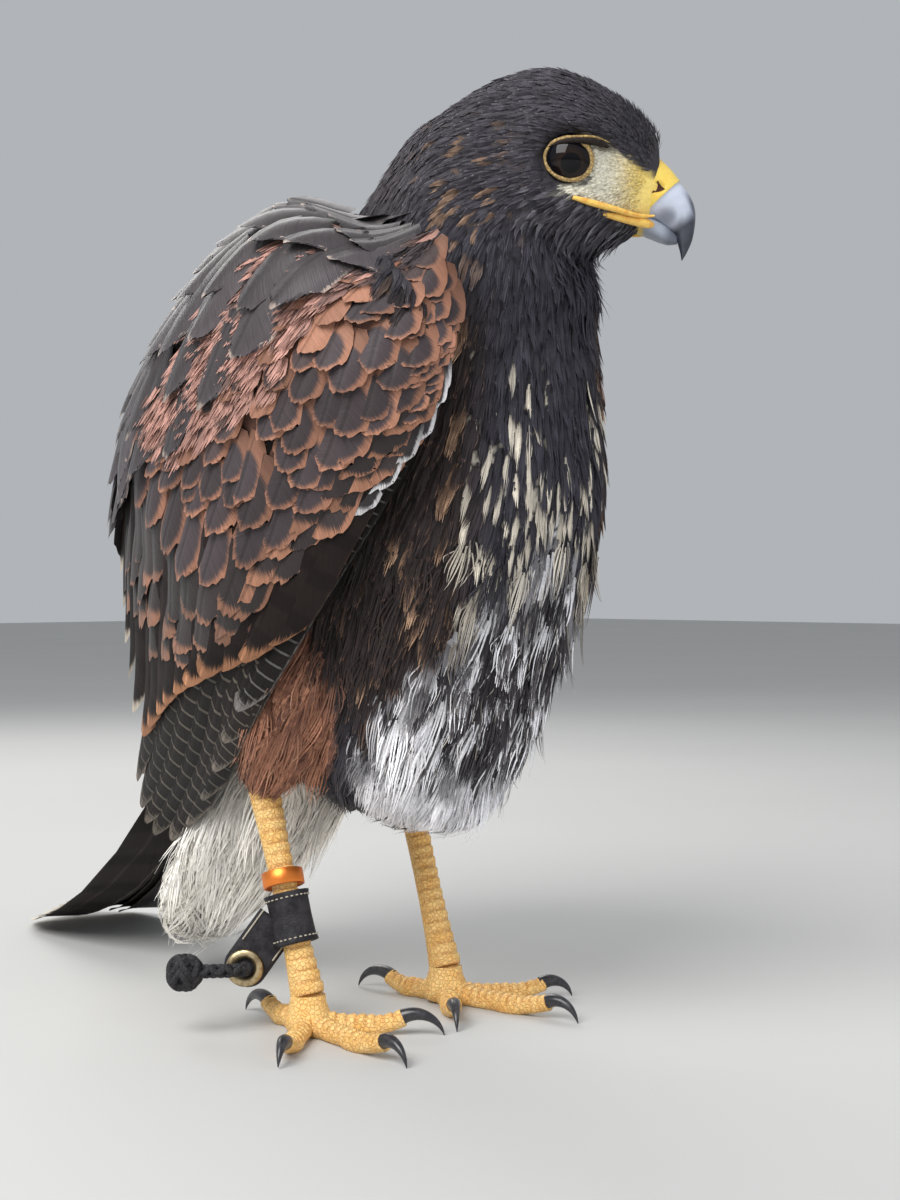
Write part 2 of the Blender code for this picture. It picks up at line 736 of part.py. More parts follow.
def tail():
    """Twelve feathers from one root, the middle ones uppermost."""
    rings = []
    for x in (-16, 0, 12, 26):
        ring = []
        for j in range(12):
            angle = math.tau * j / 12
            height = 7 * math.sin(angle) * (1 - x / 60) - 2
            ring.append(tail_point(x, 15 * math.cos(angle), height))
        rings.append(ring)
    body = loft("tail", rings)
    vanes = []
    for side in (1, -1):
        for k in range(TAIL_FEATHERS):
            grid = []
            for t, share in ((0.03, 0.6), (0.35, 0.9), (0.66, 1.0), (0.93, 0.95), (1, 0.5)):
                half_fan = TAIL_HALF_ROOT + (TAIL_HALF_TIP - TAIL_HALF_ROOT) * t
                y = half_fan * (k + 0.35) / TAIL_FEATHERS
                width = TAIL_VANE * (0.62 + 0.38 * t) * share
                inner = max(y - width, 0.4) if k else y - width * 0.8
                top = side > 0 and k == 0
                length = TAIL_LENGTH - 1.6 * k - top
                cross = []
                for place in (inner, (inner + y + width) / 2, y + width):
                    lift = 2.2 - 1.1 * (k - top) - 0.04 * (place - y)
                    cross.append(tail_point(length * t, side * place, lift))
                grid.append(cross)
            vanes.append(plate("vane", grid, (VANE, SHAFT, VANE)))
    union(body, vanes)
    return cut(body, [grown(trunk_form(), GAP)])


def vent(rng):
    """The long white feathers under the tail."""
    rings = []
    for t in np.linspace(0, 1, 7):
        f, z, wide, thick = along(VENT, t)
        ring = []
        for j in range(12):
            angle = math.tau * j / 12
            c, s = math.cos(angle), math.sin(angle)
            ring.append(at(f - thick * 0.6 * s, wide * c, z + thick * s))
        rings.append(ring)
    body = loft("vent", rings)
    locks = []
    for k in range(VENT_LOCKS):
        t = 0.12 + 0.8 * ((k * 0.618) % 1)
        angle = math.tau * ((k * 0.382) % 1)
        f, z, wide, thick = along(VENT, t)
        c, s = math.cos(angle), math.sin(angle)
        root = at(f - thick * 0.5 * s, wide * 0.86 * c, z + thick * 0.8 * s)
        reach = rng.uniform(32, 52)
        low = max(z - reach * 0.62 + thick * 0.9 * s, 2.5 + rng.uniform(0, 5))
        tip = at(f - reach * 0.95, (wide + 4) * c, low)
        across = unit(np.cross(tip - root, at(0, c, 0) + at(0, 0, s * 0.7)))
        bow = at(-1.5, 3.0 * c, 1.5 * s)
        locks.append(lock("lock", root, tip, bow, 13, across))
    union(body, locks)
    rooms = [grown(trunk_form(), GAP)] + [thigh_form(side, THIGH_ROOM) for side in (1, -1)]
    return cut(body, rooms)


def thigh_ends(side):
    return at(HIP[0], HIP[1] * side, HIP[2]), at(ANKLE[0], ANKLE[1] * side, ANKLE[2])


def thigh_form(side, table=THIGH_RADII):
    """The plain form of the thigh, or of the space round it."""
    hip, ankle = thigh_ends(side)
    stations = np.linspace(0, table[-1][0], 8)
    centres = [hip * (1 - t) + ankle * t for t in stations]
    return pipe("thigh", centres, [smooth(table, t)[0] for t in stations], 14)


def thigh(side, rng):
    """The feathered thigh, with loose feathers round its lower end."""
    hip, ankle = thigh_ends(side)
    body = thigh_form(side)
    down = unit(ankle - hip)
    side_way = unit(np.cross(down, (1, 0, 0)))
    front_way = np.cross(down, side_way)
    locks = []
    for k in range(7):
        angle = math.tau * (k + 0.5) / 7
        out = side_way * math.cos(angle) + front_way * math.sin(angle)
        across = np.cross(down, out)
        root = hip * 0.28 + ankle * 0.72 + out * 16 * MM
        tip = ankle + down * rng.uniform(2, 5) * MM + out * 12.5 * MM
        locks.append(lock("lock", root, tip, out * 1.5 * MM, 9, across))
    union(body, locks)
    return cut(body, [wing_room(side)])


def shank_centre(side, z):
    t = (z - PAD_TOP) / (ANKLE[2] - PAD_TOP)
    forward = SHANK_FOOT + (ANKLE[0] - SHANK_FOOT) * t
    sideways = FOOT_SIDE + (ANKLE[1] - FOOT_SIDE) * t
    return at(forward, side * sideways, z)


def shank(side):
    """The bare shank, with a row of raised plates down its front."""
    rings = []
    low, high = PAD_TOP + GAP / 2, ANKLE[2] + 4
    plates = 8
    for i in range(plates):
        for part, raised in ((0.06, 0.0), (0.94, 0.55)):
            z = low + (high - low) * (i + part) / plates
            radius = smooth(SHANK_RADII, min(z, 86))[0]
            centre = shank_centre(side, z)
            ring = []
            for j in range(10):
                angle = math.tau * j / 10
                front = max(math.cos(angle), 0)
                reach = radius + raised * front
                ring.append(centre + np.array((math.sin(angle), -math.cos(angle), 0)) * reach * MM)
            rings.append(ring)
    return cut(loft("shank", rings), [grown(thigh_form(side), GAP)])


def toe_frame(side, turn):
    angle = math.radians(turn)
    return np.array((-side * math.sin(angle), -math.cos(angle), 0))


def toe_height(t, radius):
    """How high the middle of a toe lies over the floor, rising to the claw."""
    return radius * 0.86 + 3.2 * max(t - 0.72, 0) / 0.28


def foot_middle(side):
    return at(SHANK_FOOT, side * FOOT_SIDE, 0)


def foot(side):
    """The foot with its four toes, each with raised plates above and pads below."""
    middle = foot_middle(side)
    rings = []
    for z, radius in ((-2, 6.5), (5, 8.2), (9, 6.8), (PAD_TOP - GAP / 2, 6.1)):
        ring = []
        for j in range(12):
            angle = math.tau * j / 12
            spoke = np.array((math.cos(angle), math.sin(angle), 0))
            ring.append(middle + spoke * radius * MM + at(0, 0, z))
        rings.append(ring)
    body = loft("foot", rings)
    toes = []
    for _, turn, length, radius in TOES:
        way = toe_frame(side, turn)
        centres, radii = [], []
        for i in range(SCUTES):
            for part, raised in ((0.04, 0.94), (0.96, 1.1)):
                t = (i + part) / SCUTES
                thick = radius * (1 - 0.28 * t)
                centres.append(middle + way * length * t * MM + at(0, 0, toe_height(t, thick)))
                radii.append(thick * raised)
        toes.append(pipe("toe", centres, radii, 7))
    union(body, toes)
    return cut(body, [floor_block(middle)])


def floor_block(middle):
    """The space under the floor round a foot."""
    reach = 90
    corners = [(-1, -1), (1, -1), (1, 1), (-1, 1)]
    rings = [[middle + np.array((x * reach, y * reach, z)) * MM for x, y in corners] for z in (-20, 0)]
    return loft("floor", rings)


def claw(side, name, turn, length, radius):
    """One claw, bent down from the end of its toe to the floor."""
    way = toe_frame(side, turn)
    thick = radius * 0.72
    end = foot_middle(side) + way * length * 0.994 * MM + at(0, 0, toe_height(1, thick))
    start, stop = math.radians(28), math.radians(-78)
    size = CLAW_LENGTH[name]
    point = end + way * 1.1 * MM
    centres, radii = [point], [CLAW_RADIUS]
    steps = 5
    for i in range(steps):
        t = (i + 0.5) / steps
        slope = start + (stop - start) * t
        ahead = way * math.cos(slope) + np.array((0, 0, math.sin(slope)))
        point = point + ahead * size / steps * MM
        centres.append(point)
        radii.append(CLAW_RADIUS * (1 - ((i + 1) / steps) ** 1.4) + 0.22)
    lift = min(centre[2] - r * MM for centre, r in zip(centres, radii))
    if lift < 0:
        centres = [c - np.array((0, 0, lift)) * (i / steps) ** 2 for i, c in enumerate(centres)]
    return pipe("claw", centres, radii, 6, flat=0.0)


def tube_ring(name, centre, axis, inner, outer, length, sides=18):
    """A short open tube about a centre, along an axis."""
    axis = unit(axis)
    side = unit(np.cross(axis, (0.3, 1, 0.2)))
    up = np.cross(side, axis)
    rings = []
    for i in range(sides):
        angle = math.tau * i / sides
        spoke = side * math.cos(angle) + up * math.sin(angle)
        half = axis * length / 2 * MM
        low, high = spoke * inner * MM, spoke * outer * MM
        ring = [low - half, high - half, high + half, low + half]
        rings.append([centre + corner for corner in ring])
    return band(name, rings)


def leg_wear():
    """Ring, leather cuff with its tab, eyelet, and the short knotted button in the eyelet."""
    leg_way = unit(shank_centre(1, 60) - shank_centre(1, 30))
    bore = 5.75
    cuff_centre = (shank_centre(1, CUFF_LOW) + shank_centre(1, CUFF_HIGH)) / 2
    facing = unit(at(1, 1, 0))
    away = unit(at(-1, 1, 0))
    eyelet = shank_centre(1, 36) + away * TAB_LENGTH * MM + at(0, 0, -TAB_DROP)
    half_cuff = leg_way * (CUFF_HIGH - CUFF_LOW) / 2 * MM
    cuff = pipe("cuff", [cuff_centre - half_cuff, cuff_centre + half_cuff], (bore + CUFF_WALL,) * 2, 16)
    tab_top = shank_centre(1, 39) + away * 5.9 * MM
    outline = []
    end_angle = math.atan2(-(tab_top - eyelet)[2], -(tab_top - eyelet) @ away)
    for i in range(11):
        angle = end_angle - math.pi / 2 + math.pi * i / 10
        spoke = away * math.cos(angle) + np.array((0, 0, math.sin(angle)))
        outline.append(eyelet + spoke * TAB_WIDTH / 2 * MM)
    down = unit(eyelet - tab_top)
    wide = np.cross(down, facing) * TAB_WIDTH / 2 * MM
    if (outline[0] - eyelet) @ wide < 0:
        wide = -wide
    outline += [tab_top - wide, tab_top + wide]
    outline = np.array(outline)
    half = facing * TAB_THICKNESS / 2 * MM
    tab = loft("tab", [outline - half, outline + half])
    leg_stretch = leg_way * 20 * MM
    cuff_hole = pipe("hole", [cuff_centre - leg_stretch, cuff_centre + leg_stretch], (bore, bore), 16)
    barrel = pipe(
        "barrel", [eyelet - facing * 9 * MM, eyelet + facing * 9 * MM], (EYELET_BARREL + GAP,) * 2, 12
    )
    union(cuff, [tab])
    cut(cuff, [cuff_hole, barrel])
    finish(cuff, "anklet", "leather")

    profile = [
        (EYELET_BORE, -2.6),
        (EYELET_OUTER, -2.6),
        (EYELET_OUTER, -1.6 - GAP),
        (EYELET_BARREL, -1.6 - GAP),
        (EYELET_BARREL, 1.6 + GAP),
        (EYELET_OUTER, 1.6 + GAP),
        (EYELET_OUTER, 2.6),
        (EYELET_BORE, 2.6),
    ]
    level = np.cross(facing, (0, 0, 1))
    rings = []
    for i in range(12):
        angle = math.tau * i / 12
        spoke = level * math.cos(angle) + np.array((0, 0, math.sin(angle)))
        rings.append([eyelet + (spoke * r + facing * h) * MM for r, h in profile])
    finish(band("eyelet", rings), "grommet", "brass")

    path = [(-7.5, 0, 0), (0, 0, 0), (5, 0, 0), (9, 6, 0.5), (10, 13, 0.5), (9.5, 20, 0)]
    places = [eyelet + (facing * a + away * b + np.array((0, 0, c))) * MM for a, b, c in path]
    centres = [along(places, t) for t in np.linspace(0, 1, 9)]
    cord = pipe("button", centres, (2.6,) * 9, 6)
    knot = ball("knot", places[-1], KNOT_RADIUS, 8, 6)
    stop = ball("stop", places[0] - facing * 1.0 * MM, 4.4, 8, 5)
    finish(union(cord, [knot, stop]), "jess_button", "leather")

    ring_centre = shank_centre(1, RING_Z)
    tilt = unit(leg_way + away * 0.12)
    band_ring = tube_ring("ring", ring_centre, tilt, RING_OUTER - RING_WALL, RING_OUTER, RING_HEIGHT)
    finish(band_ring, "leg_ring", "orange_metal")


def centre_all():
    """Moves every mesh so that the origin lies under the middle of the bird, on the floor."""
    meshes = [obj.data for obj in bpy.context.scene.objects]
    corners = np.array([vertex.co for mesh in meshes for vertex in mesh.vertices])
    low, high = corners.min(axis=0), corners.max(axis=0)
    move = -np.array(((low[0] + high[0]) / 2, (low[1] + high[1]) / 2, low[2]))
    for mesh in meshes:
        mesh.transform(Matrix.Translation(move))


def main():
    for obj in list(bpy.data.objects):
        bpy.data.objects.remove(obj)
    rng = random.Random(SEED)

    finish(torso(rng), "torso", "dark_feather")
    finish(neck(), "neck", "dark_feather")
    finish(head(), "head", "dark_feather")
    finish(cere(), "cere", "cere_skin")
    finish(bill_part("upper_bill", UPPER_BILL, CERE_END + 0.06, 7, 8), "upper_bill", "horn")
    finish(bill_part("lower_bill", LOWER_BILL, 0.05, 3, 6), "lower_bill", "horn")
    for side, name in ((1, "right"), (-1, "left")):
        eye = ball("eye", head_at(EYE_FORWARD, side * EYE_SIDE, EYE_UP), EYE_RADIUS, 14, 8)
        finish(eye, "eye_" + name, "eye")
        finish(wing(side, rng), "wing_" + name, "rufous_feather")
        finish(thigh(side, rng), "thigh_" + name, "rufous_feather")
        finish(shank(side), "tarsus_" + name, "leg_skin")
        finish(foot(side), "foot_" + name, "leg_skin")
        for toe, turn, length, radius in TOES:
            finish(claw(side, toe, turn, length, radius), f"claw_{toe}_{name}", "claw_horn")
    finish(tail(), "tail", "dark_feather")
    finish(vent(rng), "undertail_coverts", "white_feather")
    leg_wear()
    centre_all()


if __name__ == "__main__":
    main()
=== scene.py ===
# %% [markdown]
# A young Harris's hawk at life size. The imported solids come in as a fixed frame. Over them this
# lesson lays one skin, and then feathers as real mesh: small ones over the body, tiers of coverts
# and quills on the wings, a fan in the tail. The bill, eyes, feet and the things worn on the leg
# are separate pieces. Lengths are millimetres in the bird's own axes: forward, to its right, up.

# %% Load the frame
import math
import bmesh
import bpy
import numpy as np
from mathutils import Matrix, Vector
from mathutils.bvhtree import BVHTree
from mathutils.kdtree import KDTree


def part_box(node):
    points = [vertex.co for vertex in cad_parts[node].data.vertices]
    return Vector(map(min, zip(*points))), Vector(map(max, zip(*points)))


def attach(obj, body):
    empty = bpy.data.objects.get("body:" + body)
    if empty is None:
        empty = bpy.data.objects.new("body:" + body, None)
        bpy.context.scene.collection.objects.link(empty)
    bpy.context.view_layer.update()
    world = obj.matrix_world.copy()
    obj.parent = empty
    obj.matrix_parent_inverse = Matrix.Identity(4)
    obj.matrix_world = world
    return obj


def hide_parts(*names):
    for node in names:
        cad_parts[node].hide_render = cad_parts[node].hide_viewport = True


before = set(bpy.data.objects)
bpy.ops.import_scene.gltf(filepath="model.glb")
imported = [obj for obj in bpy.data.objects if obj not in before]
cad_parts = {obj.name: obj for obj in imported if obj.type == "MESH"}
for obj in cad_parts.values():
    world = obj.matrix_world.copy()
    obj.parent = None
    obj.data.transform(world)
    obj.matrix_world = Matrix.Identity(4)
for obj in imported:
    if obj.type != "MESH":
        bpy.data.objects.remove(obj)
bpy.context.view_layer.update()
MM = 0.001
SIDES = ((1, "right"), (-1, "left"))
scene = bpy.context.scene

eye_low, eye_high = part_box("eye_right")
eye_middle = (np.array(eye_low) + np.array(eye_high)) / 2
# Where the right eye would be if the bird's own origin were the frame's: the rest is the shift
EYE_HOME = np.array((-0.4, -96.7, 297.0)) * MM
SHIFT = eye_middle - EYE_HOME
SHIFT[2] = 0
print("moved by", SHIFT.round(4))

# %% [markdown]
# Three small helpers carry nearly everything: one turns the bird's own axes into the frame's, one
# reads a smooth value between the rows of a table, and one gives weights for a smooth curve
# through a few evenly spaced points. Tables with smooth steps make forms that are easy to adjust.

# %% Axes and smooth tables
def at(f, s, z):
    """Points of the bird's own axes, in millimetres, as the frame's metres."""
    f, s, z = np.broadcast_arrays(f, s, z)
    return np.stack((-s, -f, z), axis=-1).astype(float) * MM + SHIFT


def own(points):
    """The frame's metres back as forward, right and up in millimetres."""
    p = (np.asarray(points) - SHIFT) / MM
    return -p[..., 1], -p[..., 0], p[..., 2]


def table_at(keys, values, x):
    """Smooth values between a table's rows, for many keys at once."""
    keys, values, x = np.asarray(keys, float), np.asarray(values, float), np.asarray(x, float)
    last = len(keys) - 1
    i = np.clip(np.searchsorted(keys, x) - 1, 0, last - 1)
    before, after = np.maximum(i - 1, 0), np.minimum(i + 2, last)
    span = keys[i + 1] - keys[i]
    t = ((x - keys[i]) / span)[..., None]
    slope0 = (values[i + 1] - values[before]) * (span / (keys[i + 1] - keys[before]))[..., None]
    slope1 = (values[after] - values[i]) * (span / (keys[after] - keys[i]))[..., None]
    return (
        (2 * t**3 - 3 * t**2 + 1) * values[i]
        + (t**3 - 2 * t**2 + t) * slope0
        + (3 * t**2 - 2 * t**3) * values[i + 1]
        + (t**3 - t**2) * slope1
    )


def weights(count, t):
    """How much each of count evenly spaced points gives to the curve at t."""
    return table_at(np.linspace(0, 1, count), np.eye(count), t)


def unit(v):
    return v / np.maximum(np.linalg.norm(v, axis=-1, keepdims=True), 1e-12)


def step(low, high, x):
    """0 below low, 1 above high, and smooth between."""
    t = np.clip((np.asarray(x, float) - low) / (high - low), 0, 1)
    return t * t * (3 - 2 * t)


def power(value, exponent):
    return np.sign(value) * np.abs(value) ** exponent


print("helpers ready")

# %% [markdown]
# The bird's named forms. The trunk is a stack of egg-shaped slices, upright as a resting hawk
# holds itself. The head is a second stack along its own axis, turned to the bird's left. The same
# tables serve the skin, the feathers' places and their colours, so that everything stays in step.

# %% The forms
TRUNK_KEYS = (70, 77, 85, 104, 125, 150, 186, 212, 236, 262, 274, 286, 298, 308, 318)
# Widest point forward, reach forward, reach back, half width
TRUNK_ROWS = [
    (45, 6, 8, 7), (38, 18, 34, 20), (29, 29, 56, 31), (28, 41, 88, 41), (30, 47, 114, 47),
    (32, 56, 128, 54), (36, 61, 131, 57), (39, 57, 122, 56), (42, 53, 104, 53), (46, 49, 72, 47),
    (50, 41, 54, 41), (55, 29, 42, 34), (60, 18, 36, 26), (64, 12, 30, 22), (67, 8, 20, 15),
]
LEAN_KEYS, LEAN_ROWS = (70, 262, 274, 298, 318), [(0,), (0,), (1.2,), (8,), (9,)]
TRUNK_POWER = 2.25

HEAD_F, HEAD_S, HEAD_Z, HEAD_TURN, HEAD_SCALE = 79.0, -10.0, 301.9, math.radians(45), 1.023
HEAD_POWER = 2.3
HEAD_KEYS = (-47, -42, -30, -15, 0, 10, 20, 27, 33, 36, 39)
# Top, bottom, half width
HEAD_ROWS = [
    (1, -18, 8), (11, -30, 18), (21, -36, 24), (27.5, -38, 26.5), (31, -37.5, 26.5),
    (30.3, -35, 25), (26.8, -30.5, 20.5), (22, -26.5, 15.8), (15.5, -21, 11.6), (10.8, -15, 9.4),
    (5, -4, 6),
]
# The same for the skin, which lies under short feathers, with a lower forehead
HEAD_SKIN = [
    (-3, -18, 8), (7, -30, 17), (17, -36, 23), (25.2, -37, 25), (28.4, -36.5, 25.3),
    (26.0, -34, 23.6), (21.2, -29.0, 19.0), (16.6, -26.0, 14.6), (10.8, -21.5, 10.8),
    (6.8, -15, 8.6), (2.5, -4, 5.5),
]
EYE_PLACE, EYE_RADIUS = (5.0, 19.4, -5.4), 8.6
ANKLE, HIP, FOOT_SIDE, SHANK_FOOT, PAD_TOP = (-19, 35, 86), (20, 33, 148), 34, 5.0, 13
THIGH_KEYS = (0, 0.15, 0.4, 0.65, 0.85, 1.0)
THIGH_ROWS = [(15,), (23,), (26,), (22,), (15.5,), (10.5,)]


def trunk_point(angle, z, inset=0.0):
    """Points of the trunk: angle from forward to the right, height, depth under the coat."""
    rows = table_at(TRUNK_KEYS, TRUNK_ROWS, z)
    lean = table_at(LEAN_KEYS, LEAN_ROWS, z)[..., 0]
    f, s = power(np.cos(angle), 2 / TRUNK_POWER), power(np.sin(angle), 2 / TRUNK_POWER)
    reach = np.where(f > 0, rows[..., 1], rows[..., 2]) - inset
    return at(rows[..., 0] + reach * f, (rows[..., 3] - inset) * s + lean, z)


def head_point(x, y, z):
    """Points of the head's own frame: forward, to its right, up from the eyes' middle."""
    x, y, z = np.asarray(x) * HEAD_SCALE, np.asarray(y) * HEAD_SCALE, np.asarray(z) * HEAD_SCALE
    c, s = math.cos(HEAD_TURN), math.sin(HEAD_TURN)
    return at(HEAD_F + x * c + y * s, HEAD_S - x * s + y * c, HEAD_Z + z)


def head_own(points):
    """The head's own forward, right and up of points in the frame."""
    f, s, z = own(points)
    c, k = math.cos(HEAD_TURN), math.sin(HEAD_TURN)
    df, ds = f - HEAD_F, s - HEAD_S
    return (df * c - ds * k) / HEAD_SCALE, (df * k + ds * c) / HEAD_SCALE, (z - HEAD_Z) / HEAD_SCALE


def head_ring(x, angle, inset=0.0, rows=HEAD_ROWS):
    top, bottom, width = np.moveaxis(table_at(HEAD_KEYS, rows, x), -1, 0)
    middle, half = (top + bottom) / 2, (top - bottom) / 2 - inset
    y = (width - inset) * power(np.sin(angle), 2 / HEAD_POWER)
    return head_point(x, y, middle + half * power(np.cos(angle), 2 / HEAD_POWER))


def shank_centre(side, z):
    t = (np.asarray(z, float) - PAD_TOP) / (ANKLE[2] - PAD_TOP)
    out = FOOT_SIDE + (ANKLE[1] - FOOT_SIDE) * t
    return at(SHANK_FOOT + (ANKLE[0] - SHANK_FOOT) * t, side * out, z)


print("eye at", head_point(*EYE_PLACE).round(4), "frame", eye_middle.round(4))

# %% [markdown]
# Both wings are folded surfaces: six rows of four places, from the shoulder to the tip and from
# the leading edge to the back edge. Every feather of a wing is placed by its share along and
# across this surface, which is how a bird's tracts are ordered too.

# %% The wings' surfaces
WINGS = {
    1: [
        [(88, 48, 238), (82, 56, 252), (66, 52, 266), (44, 40, 276)],
        [(80, 53, 205), (60, 69, 224), (28, 67, 254), (-6, 42, 275)],
        [(50, 61, 165), (20, 71, 192), (-22, 65, 224), (-62, 37, 247)],
        [(2, 60, 120), (-28, 65, 147), (-64, 56, 178), (-102, 33, 202)],
        [(-50, 41, 90), (-70, 42, 106), (-97, 34, 128), (-125, 20, 146)],
        [(-118, 14, 58), (-125, 14, 63), (-132, 13, 69), (-138, 12, 76)],
    ],
    -1: [
        [(62, 45, 238), (56, 52, 252), (44, 49, 266), (26, 38, 276)],
        [(54, 51, 205), (36, 62, 224), (8, 62, 254), (-18, 41, 273)],
        [(30, 57, 168), (0, 66, 194), (-36, 61, 224), (-70, 36, 245)],
        [(-12, 56, 124), (-42, 61, 151), (-74, 53, 181), (-108, 31, 201)],
        [(-62, 39, 98), (-82, 39, 115), (-108, 30, 137), (-132, 17, 153)],
        [(-144, 0, 76), (-150, -2, 81), (-156, -4, 87), (-162, -6, 95)],
    ],
}
ARM_END = 0.60


def wing_point(side, u, v, lift=0.0):
    """Points over a wing and their normals: u to the tip, v to the back edge, lift in mm."""
    rows = np.array([[(f, s * side, z) for f, s, z in row] for row in WINGS[side]])
    u, v, lift = np.broadcast_arrays(np.asarray(u, float), v, lift)

    def place(a, b):
        inner = np.clip(b, 0, 1)
        share = np.clip(a, 0, 1)
        p = np.einsum("...i,...j,ijc->...c", weights(6, share), weights(4, inner), rows)
        rise = weights(6, 0.04) - weights(6, 0.0)
        slope = np.einsum("i,...j,ijc->...c", rise, weights(4, inner), rows) / 0.04
        p = p + slope * np.clip(a, -0.2, 0)[..., None]
        return at(p[..., 0], p[..., 1], p[..., 2])

    d = 0.01
    point = place(u, v)
    du = place(np.minimum(u + d, 1), v) - place(np.minimum(u, 1) - d, v)
    inside = np.clip(v, 0, 1)
    low, high = np.maximum(inside - d, 0), np.minimum(inside + d, 1)
    dv = place(u, high) - place(u, low)
    normal = unit(np.cross(dv, du)) * side
    across = unit(dv)
    beyond = (v - np.clip(v, 0, 1))[..., None] * 0.06
    return point + across * beyond + normal * lift[..., None] * MM, normal


def arm_thickness(u):
    start = np.minimum(u / 0.1, 1)
    return 4.5 + 3.5 * np.sin(math.pi / 2 * start) - 3.4 * np.maximum(u - 0.2, 0) / (ARM_END - 0.2)


def arm_top(u, v):
    """How high the arm's outside stands over the wing's surface."""
    inside = np.clip(ARM_END - u, 0, 0.08) / 0.08
    return (1.0 + arm_thickness(np.clip(u, 0, ARM_END)) * (1 - 0.75 * (2 * v - 1) ** 4)) * inside


print("wing tip", wing_point(1, 1.0, 0.5)[0].round(3))

# %% [markdown]
# Rings of points become a closed form with bridge_loops, and a fill closes each end. All the
# fleshy forms are joined and passed through a voxel remesh, which is the quickest way to one skin
# with no seams. It lies a few millimetres inside the solids, by the depth of the feathers.

# %% Lofts and the one skin
def loft(bm, rings, closed=False):
    """Bridges rings of equally many points in a bmesh, and fills both ends unless it is a band."""
    loops = []
    for ring in rings:
        verts = [bm.verts.new(p) for p in ring]
        loops.append([bm.edges.new((a, b)) for a, b in zip(verts, verts[1:] + verts[:1])])
    pairs = list(zip(loops, loops[1:] + loops[:1] if closed else loops[1:]))
    for low, high in pairs:
        bmesh.ops.bridge_loops(bm, edges=low + high)
    if not closed:
        for loop in (loops[0], loops[-1]):
            bmesh.ops.triangle_fill(bm, edges=loop, use_beauty=True)
    return bm


def finish_mesh(bm, name, smooth=True):
    bmesh.ops.recalc_face_normals(bm, faces=bm.faces)
    mesh = bpy.data.meshes.new(name)
    bm.to_mesh(mesh)
    bm.free()
    obj = bpy.data.objects.new(name, mesh)
    scene.collection.objects.link(obj)
    if smooth:
        mesh.shade_smooth()
    return obj


def circle(centre, way, radius, sides, ref=(0.31, 0.2, 0.93)):
    """A ring of points about a centre, square to a direction."""
    way = unit(np.asarray(way, float))
    side = unit(np.cross(way, ref))
    up = np.cross(side, way)
    a = np.linspace(0, math.tau, sides, endpoint=False)[:, None]
    return np.asarray(centre) + (side * np.cos(a) + up * np.sin(a)) * radius * MM


def tube(bm, centres, radii, sides, ref=(0.31, 0.2, 0.93), closed=False):
    centres = np.asarray(centres, float)
    ways = np.gradient(centres, axis=0)
    if closed:
        ways = np.roll(centres, -1, axis=0) - np.roll(centres, 1, axis=0)
    radii = np.broadcast_to(radii, len(centres))
    rings = [circle(c, w, r, sides, ref) for c, w, r in zip(centres, ways, radii)]
    return loft(bm, rings, closed)


SKIN_DEPTH = 4.5
SKIN_SIDES = 40
turn = np.linspace(0, math.tau, SKIN_SIDES, endpoint=False)
skin_bm = bmesh.new()
for heights, depth in ((np.linspace(74, 262, 26), SKIN_DEPTH),
                       (np.linspace(250, 312, 12), SKIN_DEPTH - 1)):
    loft(skin_bm, [trunk_point(turn, np.full(SKIN_SIDES, z), depth) for z in heights])
loft(skin_bm, [head_ring(np.full(SKIN_SIDES, x), turn, 0.4, HEAD_SKIN)
               for x in np.linspace(-45, 36, 24)])
BROW = [(-9, 21.5, 5.5), (1, 23.6, 6.2), (12, 21.8, 5.2), (22, 16.0, 1.6), (30, 11.0, -3.2)]
for side in (1, -1):
    path = table_at(np.linspace(0, 1, 5), BROW, np.linspace(0, 1, 14))
    ridge = head_point(path[:, 0], side * path[:, 1], path[:, 2])
    tube(skin_bm, ridge, 3.9 - 1.8 * np.linspace(-0.4, 1, 14) ** 2, 18)
for side in (1, -1):
    hip = at(HIP[0], HIP[1] * side, HIP[2])
    ankle = at(ANKLE[0], ANKLE[1] * side, ANKLE[2])
    t = np.linspace(0, 1.02, 12)
    thigh = table_at(THIGH_KEYS, THIGH_ROWS, t)[:, 0] - 3.5
    tube(skin_bm, hip + (ankle - hip) * t[:, None], thigh, 24)
    across = np.linspace(0.03, 0.97, 12)
    rings = []
    for u in np.linspace(0.01, ARM_END, 16):
        outer = wing_point(side, np.full(12, u), across, arm_top(u, across) - 1.6)[0]
        inner = wing_point(side, np.full(12, u), across[::-1], -5.0)[0]
        rings.append(np.concatenate((outer, inner)))
    loft(skin_bm, rings)
skin = finish_mesh(skin_bm, "skin")
print("skin forms", len(skin.data.polygons), "faces")

# %% [markdown]
# The under-tail feathers hide a soft core behind the legs, and the tail grows from a short root.
# Both join the skin before the remesh. Smoothing afterwards rounds the valleys between forms.

# %% Core of the vent, tail root and remesh
VENT_KEYS = (0, 0.2, 0.4, 0.6, 0.8, 1.0)
# Forward, up, half width, half depth
VENT_ROWS = [(-24, 92, 24, 15), (-44, 81, 28, 19), (-64, 63, 29, 19), (-84, 44, 25, 16),
             (-100, 28, 17, 10), (-110, 20, 8, 5)]
TAIL_ROOT, TAIL_LENGTH, TAIL_SWING = (-80, 0, 108.0), 208, math.radians(-12)
TAIL_SLOPE = (math.radians(57), math.radians(6))


